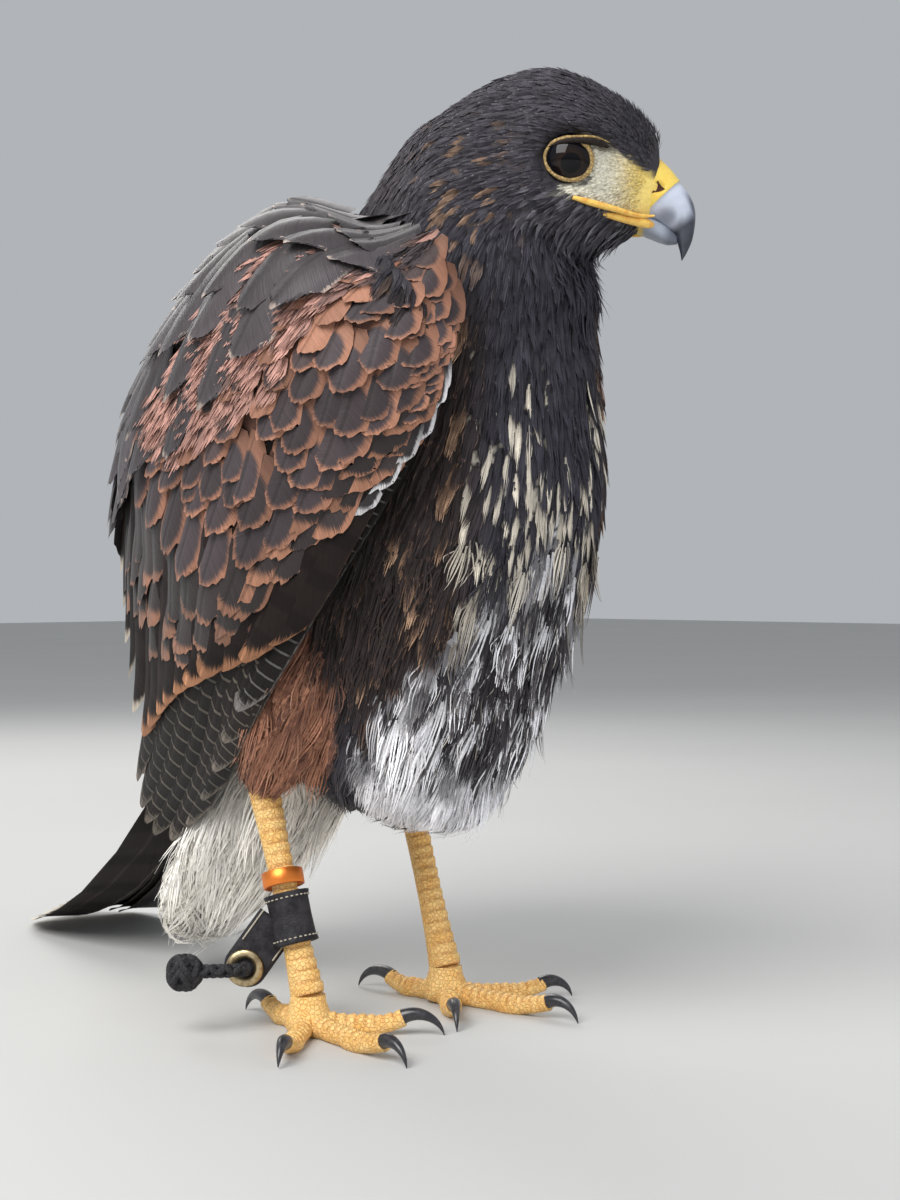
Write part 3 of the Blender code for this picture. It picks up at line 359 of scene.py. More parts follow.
def tail_point(x, y, lift):
    """Points x along the tail, y to its right and lift above its middle line."""
    x, y, lift = np.broadcast_arrays(np.asarray(x, float), y, lift)
    start, end = TAIL_SLOPE
    turn_rate = (end - start) / TAIL_LENGTH
    slope = start + turn_rate * x
    back = -(np.sin(slope) - np.sin(start)) / turn_rate - np.sin(slope) * lift
    z = TAIL_ROOT[2] - (np.cos(start) - np.cos(slope)) / turn_rate + np.cos(slope) * lift
    c, s = math.cos(TAIL_SWING), math.sin(TAIL_SWING)
    return at(TAIL_ROOT[0] + back * c + y * s, y * c - back * s, z)


def vent_point(t, angle, inset=0.0):
    f, z, wide, thick = np.moveaxis(table_at(VENT_KEYS, VENT_ROWS, t), -1, 0)
    c, s = np.cos(angle), np.sin(angle)
    wide, thick = np.maximum(wide - inset, 1), np.maximum(thick - inset, 1)
    return at(f - thick * 0.6 * s, wide * c, z + thick * s)


forms = bmesh.new()
forms.from_mesh(skin.data)
ring_turn = np.linspace(0, math.tau, 24, endpoint=False)
loft(forms, [vent_point(np.full(24, t), ring_turn, 6.0) for t in np.linspace(0, 0.92, 12)])
rings = []
for x in np.linspace(-34, 26, 8):
    slim = 1 - 0.35 * (x + 34) / 60
    rings.append(tail_point(x, 15 * slim * np.cos(ring_turn), 8.5 * slim * np.sin(ring_turn) - 2))
loft(forms, rings)
bmesh.ops.recalc_face_normals(forms, faces=forms.faces)
forms.to_mesh(skin.data)
forms.free()
remesh = skin.modifiers.new("one skin", "REMESH")
remesh.mode = "VOXEL"
remesh.voxel_size = 0.0019
graph = bpy.context.evaluated_depsgraph_get()
whole = bpy.data.meshes.new_from_object(skin.evaluated_get(graph))
skin.modifiers.clear()
skin.data = whole
body_bm = bmesh.new()
body_bm.from_mesh(whole)
body_bm.verts.ensure_lookup_table()
for _ in range(4):
    bmesh.ops.smooth_vert(body_bm, verts=body_bm.verts, factor=0.5, use_axis_x=True,
                          use_axis_y=True, use_axis_z=True)
places = np.array([v.co[:] for v in body_bm.verts])
x, y, h = head_own(places)
from_eye = np.hypot((x - 4.8) / 8.4, (h + 6.0) / 7.6)
depth = np.maximum(np.abs(y) - 21.8, 0) * step(1.45, 0.98, from_eye) * (places[:, 2] > 0.27)
carved = head_point(x, y - np.sign(y) * depth, h)
for i in np.nonzero(depth > 0.01)[0]:
    body_bm.verts[i].co = carved[i]
bmesh.ops.recalc_face_normals(body_bm, faces=body_bm.faces)
body_bm.to_mesh(whole)
body_bm.free()
whole.shade_smooth()
whole.name = "skin"
print("skin", len(whole.polygons), "faces")

# %% [markdown]
# An unwrap of the skin by its own angles gives each feather's root a place on a flat sheet. It is
# kept under the name OFBake, and every coat piece later reuses the place of its roots.

# %% Unwrap the skin
bpy.ops.object.select_all(action="DESELECT")
bpy.context.view_layer.objects.active = skin
skin.select_set(True)
whole.uv_layers.new(name="OFBake")
bpy.ops.object.mode_set(mode="EDIT")
bpy.ops.mesh.select_all(action="SELECT")
bpy.ops.uv.smart_project(angle_limit=math.radians(66), island_margin=0.002)
bpy.ops.object.mode_set(mode="OBJECT")
skin.select_set(False)

count = len(whole.polygons)
corner_total = np.empty(count, np.int32)
whole.polygons.foreach_get("loop_total", corner_total)
corner_start = np.empty(count, np.int32)
whole.polygons.foreach_get("loop_start", corner_start)
loop_uv = np.empty(len(whole.loops) * 2, np.float32)
whole.uv_layers["OFBake"].data.foreach_get("uv", loop_uv)
FACE_UV = np.add.reduceat(loop_uv.reshape(-1, 2), corner_start, axis=0) / corner_total[:, None]
loop_vert = np.empty(len(whole.loops), np.int32)
whole.loops.foreach_get("vertex_index", loop_vert)
SKIN_CO = np.empty(len(whole.vertices) * 3, np.float64)
whole.vertices.foreach_get("co", SKIN_CO)
SKIN_CO = SKIN_CO.reshape(-1, 3)
vertex_normal = np.empty(len(whole.vertices) * 3, np.float64)
whole.vertices.foreach_get("normal", vertex_normal)
vertex_normal = vertex_normal.reshape(-1, 3)
FACE_NORMAL = unit(np.add.reduceat(vertex_normal[loop_vert], corner_start, axis=0))
FACE_CENTRE = np.add.reduceat(SKIN_CO[loop_vert], corner_start, axis=0) / corner_total[:, None]
FACE_AREA = np.empty(count, np.float64)
whole.polygons.foreach_get("area", FACE_AREA)
skin_tree = BVHTree.FromPolygons([tuple(p) for p in SKIN_CO],
                                 [tuple(p.vertices) for p in whole.polygons])
print("skin area", round(float(FACE_AREA.sum()) * 1e6), "mm2")

# %% [markdown]
# Shader maths reads best as plain sums, so a small class wraps a socket and takes over the signs.
# Each sign is one of Blender's maths operations, so one loop hands them all to the class.

# %% Sockets in sums
class Wire:
    """A shader socket that can be used in Python sums."""

    def __init__(self, finish, socket):
        self.finish, self.socket = finish, socket

    def reckon(self, operation, other=None, swapped=False):
        values = [self] if other is None else [other, self] if swapped else [self, other]
        return self.finish.node("ShaderNodeMath", {"operation": operation}, values)

    def above(self, low, high):
        """0 below low, 1 above high, and smooth between."""
        values = {"Value": self, "From Min": low, "From Max": high, "To Min": 0.0, "To Max": 1.0}
        return self.finish.node("ShaderNodeMapRange", {"interpolation_type": "SMOOTHSTEP"}, values)

    def below(self, low, high):
        return 1 - self.above(low, high)


def sign(operation, swapped=False):
    return lambda wire, other=None: wire.reckon(operation, other, swapped)


for method, operation in (
    ("__add__", "ADD"), ("__radd__", "ADD"), ("__sub__", "SUBTRACT"), ("__mul__", "MULTIPLY"),
    ("__rmul__", "MULTIPLY"), ("__truediv__", "DIVIDE"), ("__pow__", "POWER"),
    ("size", "ABSOLUTE"), ("least", "MINIMUM"), ("most", "MAXIMUM"), ("wave", "SINE"),
):
    setattr(Wire, method, sign(operation))
Wire.__rsub__ = sign("SUBTRACT", swapped=True)
print("sums ready")

# %% [markdown]
# A Finish builds one material: its node method takes a node's type, its settings and its inputs,
# and the other methods are short names for the nodes that the plumage, horn and skin need.

# %% Shader helpers
class Finish:
    """One material round a Principled shader."""

    def __init__(self, name, **constants):
        self.material = bpy.data.materials.new(name)
        self.material.use_nodes = True
        self.tree = self.material.node_tree
        self.shader = self.tree.nodes["Principled BSDF"]
        for socket, value in constants.items():
            self.shader.inputs[socket.replace("_", " ")].default_value = value

    def feed(self, socket, value):
        if isinstance(value, Wire):
            self.tree.links.new(value.socket, socket)
        elif value is not None:
            if getattr(socket, "type", "") == "RGBA" and len(value) == 3:
                value = (*value, 1)
            socket.default_value = value

    def node(self, kind, settings=None, values=None, out=0):
        made = self.tree.nodes.new(kind)
        for key, setting in (settings or {}).items():
            setattr(made, key, setting)
        items = values.items() if isinstance(values, dict) else enumerate(values or [])
        for key, value in items:
            self.feed(made.inputs[key], value)
        return Wire(self, made.outputs[out])

    def attribute(self, name, out="Color"):
        return self.node("ShaderNodeAttribute", {"attribute_name": name}, out=out)

    def uv(self, name):
        """The two directions of a map, as wires."""
        made = self.tree.nodes.new("ShaderNodeSeparateXYZ")
        self.feed(made.inputs[0], self.node("ShaderNodeUVMap", {"uv_map": name}))
        return [Wire(self, made.outputs[i]) for i in range(2)]

    def place(self):
        return self.node("ShaderNodeTexCoord", out="Object")

    def from_point(self, point, operation="DISTANCE"):
        """Metres from a point of the frame, or with DOT_PRODUCT the reach along a direction."""
        values = [self.place(), tuple(point)]
        return self.node("ShaderNodeVectorMath", {"operation": operation}, values, out=1)

    def join(self, x, y, z):
        return self.node("ShaderNodeCombineXYZ", {}, [x, y, z])

    def noise(self, vector, scale, detail=3.0, rough=0.55):
        values = {"Vector": vector, "Scale": scale, "Detail": detail, "Roughness": rough}
        return self.node("ShaderNodeTexNoise", {}, values)

    def cells(self, vector, scale, feature="F1"):
        values = {"Vector": vector, "Scale": scale}
        return self.node("ShaderNodeTexVoronoi", {"feature": feature}, values, "Distance")

    def mix(self, factor, first, second, blend="MIX"):
        made = self.tree.nodes.new("ShaderNodeMix")
        made.data_type, made.blend_type = "RGBA", blend
        # A Mix node has inputs and outputs for every data type, and these are the colour ones
        for number, value in ((0, factor), (6, first), (7, second)):
            self.feed(made.inputs[number], value)
        return Wire(self, made.outputs[2])

    def shade(self, colour, amount):
        """A colour made lighter or darker by a factor wire."""
        return self.mix(1.0, colour, self.join(amount, amount, amount), "MULTIPLY")

    def bump(self, height, distance, strength=1.0):
        values = {"Height": height, "Distance": distance, "Strength": strength}
        return self.node("ShaderNodeBump", {}, values)

    def done(self, **inputs):
        for socket, value in inputs.items():
            self.feed(self.shader.inputs[socket.replace("_", " ")], value)
        return self.material


def two_tone(name, pattern, first, second, band=None, much=1.0, rough=(0.5, 0.0), relief=None,
             **constants):
    """A material of two colours mixed by one pattern, which may also change gloss and relief."""
    fin = Finish(name, **constants)
    kind, *numbers = pattern
    grain = getattr(fin, kind)(fin.place(), *numbers)
    share = grain.above(*band) if band else grain
    share = share if much == 1.0 else share * much
    inputs = {"Roughness": rough[0] + grain * rough[1] if rough[1] else rough[0]}
    if relief:
        inputs["Normal"] = fin.bump(grain, *relief)
    return fin.done(Base_Color=fin.mix(share, first, second), **inputs)


print("shader helpers ready")

# %% [markdown]
# Every feather is one small prototype bent along a spine. A contour feather is a narrow grid with
# a rounded, slightly toothed tip. A plume is a row of thin barbs, for the loose belly and the
# under-tail. Prototypes hold a share along the spine and a share across it, so that one engine
# can bend any of them.

# %% Feather prototypes
def vane_shape(columns, stations, widths, tooth=0.0, seed=0, rounding=0.2):
    """A vane: places along and across the spine, and its faces."""
    bm = bmesh.new()
    bmesh.ops.create_grid(bm, x_segments=columns, y_segments=len(stations) - 1, size=1)
    bm.verts.ensure_lookup_table()
    draw = np.random.default_rng(seed)
    place = []
    for vert in bm.verts:
        row = int(round((vert.co.y + 1) / 2 * (len(stations) - 1)))
        column = vert.co.x
        along, wide = stations[row], widths[row]
        ending = max((along - 0.45) / 0.55, 0) ** 2
        along -= ending * (rounding * column * column + tooth * draw.uniform(0, 1))
        place.append((along, column * wide, column))
    faces = [[v.index for v in face.verts] for face in bm.faces]
    bm.free()
    return np.array(place), np.array(faces)


def frond_shape(strands, rows, thin, seed, spread=1.0):
    """A hairy feather: strands that leave the root side by side and part a little at the tip."""
    draw = np.random.default_rng(seed)
    place, faces = [], []
    for k in range(strands):
        hand = (-1 + 2 * (k + 0.5) / strands) * spread
        start = draw.uniform(0, 0.22)
        end = 1 - 0.34 * hand * hand - draw.uniform(0, 0.16)
        wander, twist, lift = draw.normal(0, 0.10), draw.uniform(-0.7, 0.7), draw.uniform(0, 0.16)
        first = len(place)
        for j in range(rows):
            t = j / (rows - 1)
            fan = hand * (0.45 + 0.55 * min(1, 1.5 * t)) * (1 - 0.35 * t * t)
            offset, breadth = fan + wander * t * t, thin * (1 - 0.9 * t**1.6)
            for edge in (-1, 1):
                raised = lift + edge * twist * breadth
                place.append((start + (end - start) * t, offset + edge * breadth, hand, raised))
        for j in range(rows - 1):
            a = first + 2 * j
            faces.append([a, a + 1, a + 3, a + 2])
    return np.array(place), np.array(faces)


# Shares along the spine, and the half width there
ROUND = ([0, 0.22, 0.45, 0.66, 0.83, 0.94, 1.0], [0.45, 0.85, 1.0, 1.0, 0.84, 0.55, 0.16])
BLUNT = ([0, 0.2, 0.4, 0.6, 0.75, 0.86, 0.94, 1.0], [0.45, 0.8, 0.97, 1.0, 1.0, 0.97, 0.90, 0.76])
contour = [vane_shape(4, *ROUND, tooth=0.07, seed=k) for k in range(4)]
covert = [vane_shape(12, *BLUNT, tooth=0.07, seed=20 + k) for k in range(6)]
silk = [frond_shape(14, 6, 0.050, 60 + k, spread=1.25) for k in range(6)]
hairy = [frond_shape(9, 4, 0.17, 40 + k) for k in range(6)]
fine_hair = [frond_shape(5, 3, 0.26, 50 + k) for k in range(6)]
kinds = (contour, covert, silk, hairy, fine_hair)
print("prototype faces", [len(shapes[0][1]) for shapes in kinds])

# %% [markdown]
# The engine takes spines (a few points each), their normals and the feathers' sizes, and returns
# one mesh for hundreds of feathers, with arrays. Each feather keeps a map of itself called Vane,
# its colours as attributes, and a tiny patch at its root's place in OFBake.

# %% The feather engine
def bend(prototypes, spines, normals, width, camber, roll, seed):
    """Bends prototypes along spines. Width is half the vane in millimetres, one for each spine."""
    draw = np.random.default_rng(seed)
    kind = draw.integers(len(prototypes), size=len(spines))
    verts, faces, vane, feather, base = [], [], [], [], 0
    for number, (shape, links) in enumerate(prototypes):
        chosen = np.nonzero(kind == number)[0]
        if not len(chosen):
            continue
        grip = weights(spines.shape[1], shape[:, 0])
        ahead = weights(spines.shape[1], shape[:, 0] + 0.02) - grip
        centre = np.einsum("jk,nkc->njc", grip, spines[chosen])
        way = unit(np.einsum("jk,nkc->njc", ahead, spines[chosen]))
        normal = unit(np.einsum("jk,nkc->njc", grip, normals[chosen]))
        side = unit(np.cross(normal, way))
        across = shape[None, :, 1, None] * width[chosen, None, None] * MM
        drop = -camber[chosen, None, None] * np.abs(across) * np.abs(shape[None, :, 1, None])
        tilt = roll[chosen, None, None] * across
        if shape.shape[1] > 3:
            tilt = tilt + shape[None, :, 3, None] * width[chosen, None, None] * MM
        points = centre + side * across + normal * (drop + tilt)
        verts.append(points.reshape(-1, 3))
        size = len(shape)
        shifts = base + size * np.arange(len(chosen))
        faces.append((links[None] + shifts[:, None, None]).reshape(-1, links.shape[1]))
        local = np.stack((0.5 + 0.5 * shape[:, 2], np.clip(shape[:, 0], 0, 1.2)), axis=1)
        vane.append(np.broadcast_to(local, (len(chosen), size, 2)).reshape(-1, 2))
        feather.append(np.repeat(chosen, size))
        base += size * len(chosen)
    return [np.concatenate(part) for part in (verts, faces, vane, feather)]


def coat_piece(name, parts, material, root_uv, colours, patch=0.003):
    """One joined mesh of feathers with its maps and colour attributes."""
    verts, faces, vane, feather = parts
    mesh = bpy.data.meshes.new(name)
    corners = faces.shape[1]
    mesh.vertices.add(len(verts))
    mesh.vertices.foreach_set("co", verts.ravel())
    mesh.loops.add(faces.size)
    mesh.loops.foreach_set("vertex_index", faces.ravel())
    mesh.polygons.add(len(faces))
    mesh.polygons.foreach_set("loop_start", np.arange(len(faces)) * corners)
    mesh.update(calc_edges=True)
    flat = faces.ravel()
    bake = root_uv[feather[flat]] + (vane[flat] - (0.5, 0.5)) * patch
    for title, uv in (("OFBake", np.clip(bake, 0, 1)), ("Vane", vane[flat])):
        layer = mesh.uv_layers.new(name=title)
        layer.data.foreach_set("uv", uv.astype(np.float32).ravel())
    for title, colour in colours.items():
        attribute = mesh.color_attributes.new(title, "FLOAT_COLOR", "POINT")
        attribute.data.foreach_set("color", colour[feather].astype(np.float32).ravel())
    mesh.materials.append(material)
    mesh.shade_smooth()
    obj = bpy.data.objects.new(name, mesh)
    scene.collection.objects.link(obj)
    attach(obj, "root")
    print(name, len(root_uv), "feathers", len(faces) * (corners - 2), "triangles")
    return obj


def settle(points):
    """Nearest points of the skin, their normals and faces."""
    place = np.empty((len(points), 3))
    face = np.empty(len(points), int)
    for i, p in enumerate(points):
        co, _, index, _ = skin_tree.find_nearest(Vector(p))
        place[i], face[i] = co, index
    return place, FACE_NORMAL[face], face


def walk(roots, faces, length, lay, stations=5):
    """Spines that follow the skin from their roots along the lie of the coat."""
    normal = FACE_NORMAL[faces]
    spine, normals = [roots], [normal]
    stride = length / (stations - 1) * MM
    here = roots
    for _ in range(stations - 1):
        way = lay(here)
        way = unit(way - normal * (way * normal).sum(axis=1, keepdims=True))
        here, normal, _ = settle(here + way * stride[:, None])
        spine.append(here)
        normals.append(normal)
    spine, normals = np.stack(spine, axis=1), np.stack(normals, axis=1)
    smooth = normals.copy()
    smooth[:, 1:-1] = normals[:, :-2] + 2 * normals[:, 1:-1] + normals[:, 2:]
    return spine, unit(smooth)


def raise_spines(spine, normals, low, high, curve=1.3, sway=None):
    """Lifts spines off the skin, from low at the root to high at the tip, in millimetres."""
    t = np.linspace(0, 1, spine.shape[1])[None, :, None]
    low, high = np.asarray(low)[..., None, None], np.asarray(high)[..., None, None]
    lifted = spine + normals * (low + (high - low) * t**curve) * MM
    if sway is not None:
        lifted = lifted + sway[:, None, :] * t**2 * MM
    return lifted


print("engine ready")

# %% [markdown]
# The lie of the coat is a field of directions. On the head it streams back from the bill, on the
# body it falls down and a little back, and on the thighs it follows the leg.

# %% Lie of the coat
BILL_TIP = head_point(50, 0, -14)


def lie(points):
    f, s, z = own(points)
    stream = unit(points - BILL_TIP)
    stream[:, 2] -= 0.25
    fall = np.empty_like(points)
    back = step(-10, 60, f)
    fall[:, 0] = -0.10 * np.sign(s) * step(10, 45, np.abs(s)) * step(120, 200, z)
    fall[:, 1] = 0.35 + 0.25 * (1 - back)
    fall[:, 2] = -1.0
    belly = step(125, 80, z)[:, None]
    fall = fall * (1 - belly) + np.array((0, 0.55, -1.0)) * belly
    x, _, _ = head_own(points)
    head = (step(262, 290, z) * step(-50, -34, x))[:, None]
    return unit(fall) * (1 - head) + unit(stream) * head


us, vs = np.meshgrid(np.linspace(0.09, 0.62, 40), np.linspace(0.04, 0.96, 16), indexing="ij")
us, vs = us.ravel(), vs.ravel()
wing_samples = {side: wing_point(side, us, vs, arm_top(us, vs))[0] for side in (1, -1)}


def on_wing(points):
    """True where a point lies under a wing's own feathers."""
    covered = np.zeros(len(points), bool)
    for side in (1, -1):
        samples = wing_samples[side]
        for start in range(0, len(points), 4000):
            block = points[start:start + 4000]
            near = ((block[:, None, :] - samples[None]) ** 2).sum(axis=2).min(axis=1)
            covered[start:start + 4000] |= near < (6.5 * MM) ** 2
    return covered


print("coat field ready")

# %% [markdown]
# A feather's colour sits in three attributes: its own tint, the colour and width of its pale rim,
# and the colour and strength of a dark spot. The shader only adds what is finer than a feather:
# barbs that leave the shaft at a slant, a soft edge to each mark, and painted shade towards the
# root, where each feather lies under the one before.

# %% Feather materials
def feather_finish(name, barbs, spot_at, spot_size, roughness=0.6, streak=0.5, bars=0.0, shaft=0.0,
                   sheen=0.10, specular=0.25, edging=1.0, crescents=0.0):
    fin = Finish(name, Roughness=roughness, Sheen_Weight=sheen, Sheen_Roughness=0.45,
                 Specular_IOR_Level=specular)
    across, along = fin.uv("Vane")
    off = (across - 0.5).size() * 2
    tint, luck = fin.attribute("tint"), fin.attribute("tint", "Alpha")
    rim, rim_wide = fin.attribute("rim"), fin.attribute("rim", "Alpha")
    spot, spot_much = fin.attribute("spot"), fin.attribute("spot", "Alpha")
    slant = along * barbs - off * (barbs * 0.22)
    hair = fin.noise(fin.join(slant, across * 2.0, luck * 37), 1.0, 2.0, 0.6)
    coarse = fin.noise(fin.join(slant * 0.25, across * 3.0, luck * 53), 1.0, 2.0, 0.6)
    frayed = (hair - 0.5) * 0.22
    low, high = 1 - rim_wide * 1.2, 1 - rim_wide * 0.7
    end = (along + off * off * 0.10 + frayed * 0.5).above(low, high)
    edge = (off + frayed).above(1 - rim_wide * 1.5, high) * along.above(0.25, 0.65)
    rim_mask = end.most(edge * edging) * rim_wide.above(0.005, 0.03)
    dx, dy = off / spot_size[0], (along - spot_at) / spot_size[1]
    from_spot = (dx * dx + dy * dy) ** 0.5
    colour = fin.mix((from_spot + frayed * 1.6).below(0.75, 1.05) * spot_much, tint, spot)
    colour = fin.mix(rim_mask * (0.62 + hair * 0.55), colour, rim)
    if bars:
        wave = (along * bars + off * (0.5 + crescents * 4) + frayed * 3).wave()
        colour = fin.shade(colour, 1 - wave.above(0.1, 0.7) * 0.30)
        if crescents:
            crest = wave.above(0.80, 0.98) * off.below(0.75, 1.0) * crescents
            colour = fin.mix(crest, colour, rim)
    # Painted shade: each feather turns darker towards its root, where it lies under the one before
    streaks, painted_root_shade = 1 - streak * 0.5 + hair * streak, 0.62 + along.above(0.0, 0.55) * 0.38
    shade = streaks * (0.8 + coarse * 0.4) * painted_root_shade
    if shaft:
        shade = shade * (1 - off.below(0.03, 0.11) * shaft)
    shade = shade * (0.72 + luck * 0.56)
    height = hair * 0.6 + off.below(0.0, 0.2) * 0.5
    return fin.done(Base_Color=fin.shade(colour, shade), Normal=fin.bump(height, 0.0005, 0.7))


SPOT_AT, BODY_SPOT = 0.60, (0.62, 0.34)
plume_finish = feather_finish("body_feather", 46, SPOT_AT, BODY_SPOT, streak=0.8)
thigh_finish = feather_finish("thigh_feather", 46, SPOT_AT, BODY_SPOT, streak=0.8, bars=26)
covert_finish = feather_finish("wing_covert", 80, SPOT_AT, (0.84, 0.36), roughness=0.5,
                               streak=0.75, shaft=0.35)
quill_looks = {"roughness": 0.55, "streak": 0.35, "sheen": 0.0, "specular": 0.12}
quill_finish = feather_finish("quill", 260, 0.5, (0.8, 0.5), bars=44, shaft=-0.6, edging=0.12,
                              **quill_looks)
primary_finish = feather_finish("primary", 260, 0.5, (0.8, 0.5), bars=165, shaft=-0.4, edging=0.5,
                                crescents=0.55, **quill_looks)
scapular_finish = feather_finish("scapular", 90, 0.5, (0.7, 0.5), roughness=0.42, streak=0.6,
                                 shaft=0.3)
down_finish = feather_finish("white_down", 40, SPOT_AT, BODY_SPOT, streak=0.25, specular=0.2)
lores_finish = feather_finish("face_down", 40, SPOT_AT, BODY_SPOT, streak=0.30, specular=0.2)
print("plumage materials ready")

# %% [markdown]
# The markings follow the bird's own regions: dark head and breast, cream streaks along the middle
# of the breast, buff fringes beside them, a white belly with dark spots, rufous thighs and a white
# vent. Each region is a mask over the skin, and the first helpers give the masks that need sums.

# %% Masks of the markings
def mottle(points, lengths, seed):
    """A smooth pattern from -1 to 1, with its own length along each of the bird's axes."""
    draw = np.random.default_rng(seed)
    f, s, z = own(points)
    total = np.zeros(len(points))
    for _ in range(5):
        way = draw.normal(0, 1, 3)
        phase = draw.uniform(0, math.tau)
        reach = f * way[0] / lengths[0] + s * way[1] / lengths[1] + z * way[2] / lengths[2]
        total += np.sin(reach * 2.2 + phase)
    return total / 2.6


def on_thigh(points):
    """The gap to the nearer leg's line, in radii of the thigh there."""
    best = np.full(len(points), 9.0)
    for side, _ in SIDES:
        hip, ankle = at(HIP[0], HIP[1] * side, HIP[2]), at(ANKLE[0], ANKLE[1] * side, ANKLE[2])
        axis = ankle - hip
        t = np.clip(((points - hip) @ axis) / (axis @ axis), 0, 1.05)
        gap = np.linalg.norm(points - hip - t[:, None] * axis, axis=1) / MM
        radius = table_at(THIGH_KEYS, THIGH_ROWS, np.clip(t, 0, 1))[:, 0]
        best = np.minimum(best, gap / radius)
    return best


def on_lores(points):
    """The pale skin between eye and bill: 1 on it, 0 off it."""
    x, _, h = head_own(points)
    top_line, gape_line = 1.2 - (x - 12.4) * 0.48, -16.6 - (x - 6) * 0.235
    mask = step(1.5, -0.5, h - top_line) * step(-0.6, 0.6, h - gape_line) * (points[:, 2] > 0.27)
    return mask * np.maximum(step(11.5, 14.0, x), step(1, 5, x) * step(-12.8, -14.2, h))


print("masks ready")

# %% [markdown]
# One function paints any points of the bird, region after region, so the skin and the feathers
# carry the same pattern. A tint is a colour alone. A rim has a width behind its colour, and a spot
# its strength. Each feather's luck decides whether a streak, fringe, fleck or spot falls on it.

# %% Markings of the body
def body_colours(points, seed):
    """The tint, rim and spot of feathers that stand at these points."""
    draw = np.random.default_rng(seed)
    n = len(points)
    f, s, z = own(points)
    x, _, h = head_own(points)
    middle, ahead, behind, wide = table_at(TRUNK_KEYS, TRUNK_ROWS, np.clip(z, 72, 316)).T
    df = f - middle
    # Degrees round the trunk, from the middle of the breast to the back
    turned = np.degrees(np.arctan2(np.abs(s) / wide, df / np.where(df > 0, ahead, behind)))
    luck, second = draw.random(n), draw.random(n)
    # The ground tint is the coat's own dark brown with a bluish cast, which is painted sheen
    coat = {"tint": np.tile((0.030, 0.028, 0.038, 0.0), (n, 1)),
            "rim": np.tile((0.13, 0.12, 0.145, 0.08), (n, 1)),
            "spot": np.tile((0.02, 0.018, 0.022, 0.0), (n, 1))}

    def paint(mask, **colours):
        for title, colour in colours.items():
            target = coat[title][:, :len(colour)]
            target += (np.array(colour) - target) * np.asarray(mask, float)[:, None]

    # Flank and the sides of the breast: umber, with buff fringes here and there
    side = step(24, 40, turned) * step(118, 92, turned) * step(108, 135, z) * step(262, 240, z)
    paint(side, tint=(0.028, 0.019, 0.019), rim=(0.15, 0.085, 0.058, 0.13))
    fringed = side * (luck < 0.16 + 0.14 * mottle(points, (14, 14, 22), 3)) * step(92, 72, turned)
    paint(fringed, tint=(0.16, 0.095, 0.062), rim=(0.40, 0.25, 0.16, 0.30))
    back = step(100, 125, turned) * step(275, 255, z)
    paint(back, tint=(0.040, 0.032, 0.034), rim=(0.16, 0.105, 0.08, 0.12))
    # Cream streaks down the middle of the breast, denser towards the belly
    much = 0.03 + 0.42 * step(240, 185, z)
    top = 252 - 14 * step(4, 16, turned)
    streaks = (luck < much) * (turned < 38) * step(top, 228, z) * step(140, 160, z)
    paint(streaks, tint=(0.62, 0.56, 0.47), rim=(0.52, 0.43, 0.33, 0.10))
    # The belly is white below a border that is highest in the middle, with more dark in front
    fall = 62 * (np.clip(turned, 0, 100) / 72) ** 1.4
    border = 170 - fall + 9 * mottle(points, (8, 6, 30), 9)
    belly = step(6, -8, z - border) * step(135, 118, turned)
    paint(belly, tint=(0.88, 0.87, 0.90), rim=(0.70, 0.62, 0.52, 0.05))
    dark_share = 0.34 + 0.30 * step(48, 18, turned)
    paint(belly * (luck < dark_share) * step(88, 104, z), tint=(0.035, 0.030, 0.036))
    half_dark = (luck > dark_share) * (luck < dark_share + 0.21)
    paint(belly * half_dark * step(88, 110, z), spot=(0.045, 0.036, 0.040, 0.95))
    # The white vent and the rufous thighs
    vent = step(112, 95, z) * step(0, -18, f)
    paint(vent, tint=(1.0, 0.97, 0.91), rim=(1.0, 0.97, 0.91, 0.0), spot=(0.10, 0.06, 0.05, 0.0))
    leg = step(1.12, 0.98, on_thigh(points)) * step(158, 140, z) * step(8, 14, np.abs(s))
    paint(leg, tint=(0.40, 0.18, 0.11), rim=(0.46, 0.28, 0.18, 0.10))
    paint(leg * (luck < 0.6), spot=(0.11, 0.045, 0.035, 0.75))
    # Nape and head, with rusty flecks behind the eye and grey ones on the jaw
    nape = step(248, 272, z) * step(50, 95, turned)
    paint(nape, tint=(0.058, 0.050, 0.058), rim=(0.12, 0.10, 0.11, 0.12))
    head = step(268, 285, z) * step(-52, -40, x)
    # The head's dark tint is bluish, a painted sheen over its own dark brown
    paint(head, tint=(0.054, 0.049, 0.060), rim=(0.25, 0.225, 0.24, 0.15))
    rusty = luck < 0.06 + 0.26 * np.clip(mottle(points, (9, 9, 9), 12), 0, 1)
    flecks = rusty * step(255, 275, z) * step(-6, -20, x) * step(14, 2, h) * step(-46, -36, x)
    paint(flecks, tint=(0.20, 0.125, 0.085), rim=(0.32, 0.22, 0.15, 0.2))
    jaw = head * step(-15, -21, h + (x - 6) * 0.24) * step(-14, 2, x)
    paint(jaw, tint=(0.050, 0.046, 0.056))
    paint(jaw * (second < 0.22), tint=(0.26, 0.25, 0.28))
    # The pale skin between eye and bill, whitish behind and yellow in front
    lores = head * on_lores(points)
    yellow = step(17, 31, x)[:, None]
    pale = np.array((0.84, 0.80, 0.66, 0)) * (1 - yellow) + np.array((0.90, 0.68, 0.20, 0)) * yellow
    for title, brightness in (("tint", 1.0), ("rim", 1.1)):
        coat[title] += (pale * brightness - coat[title]) * lores[:, None]
    paint(lores * (second < 0.015), tint=(0.40, 0.32, 0.20))
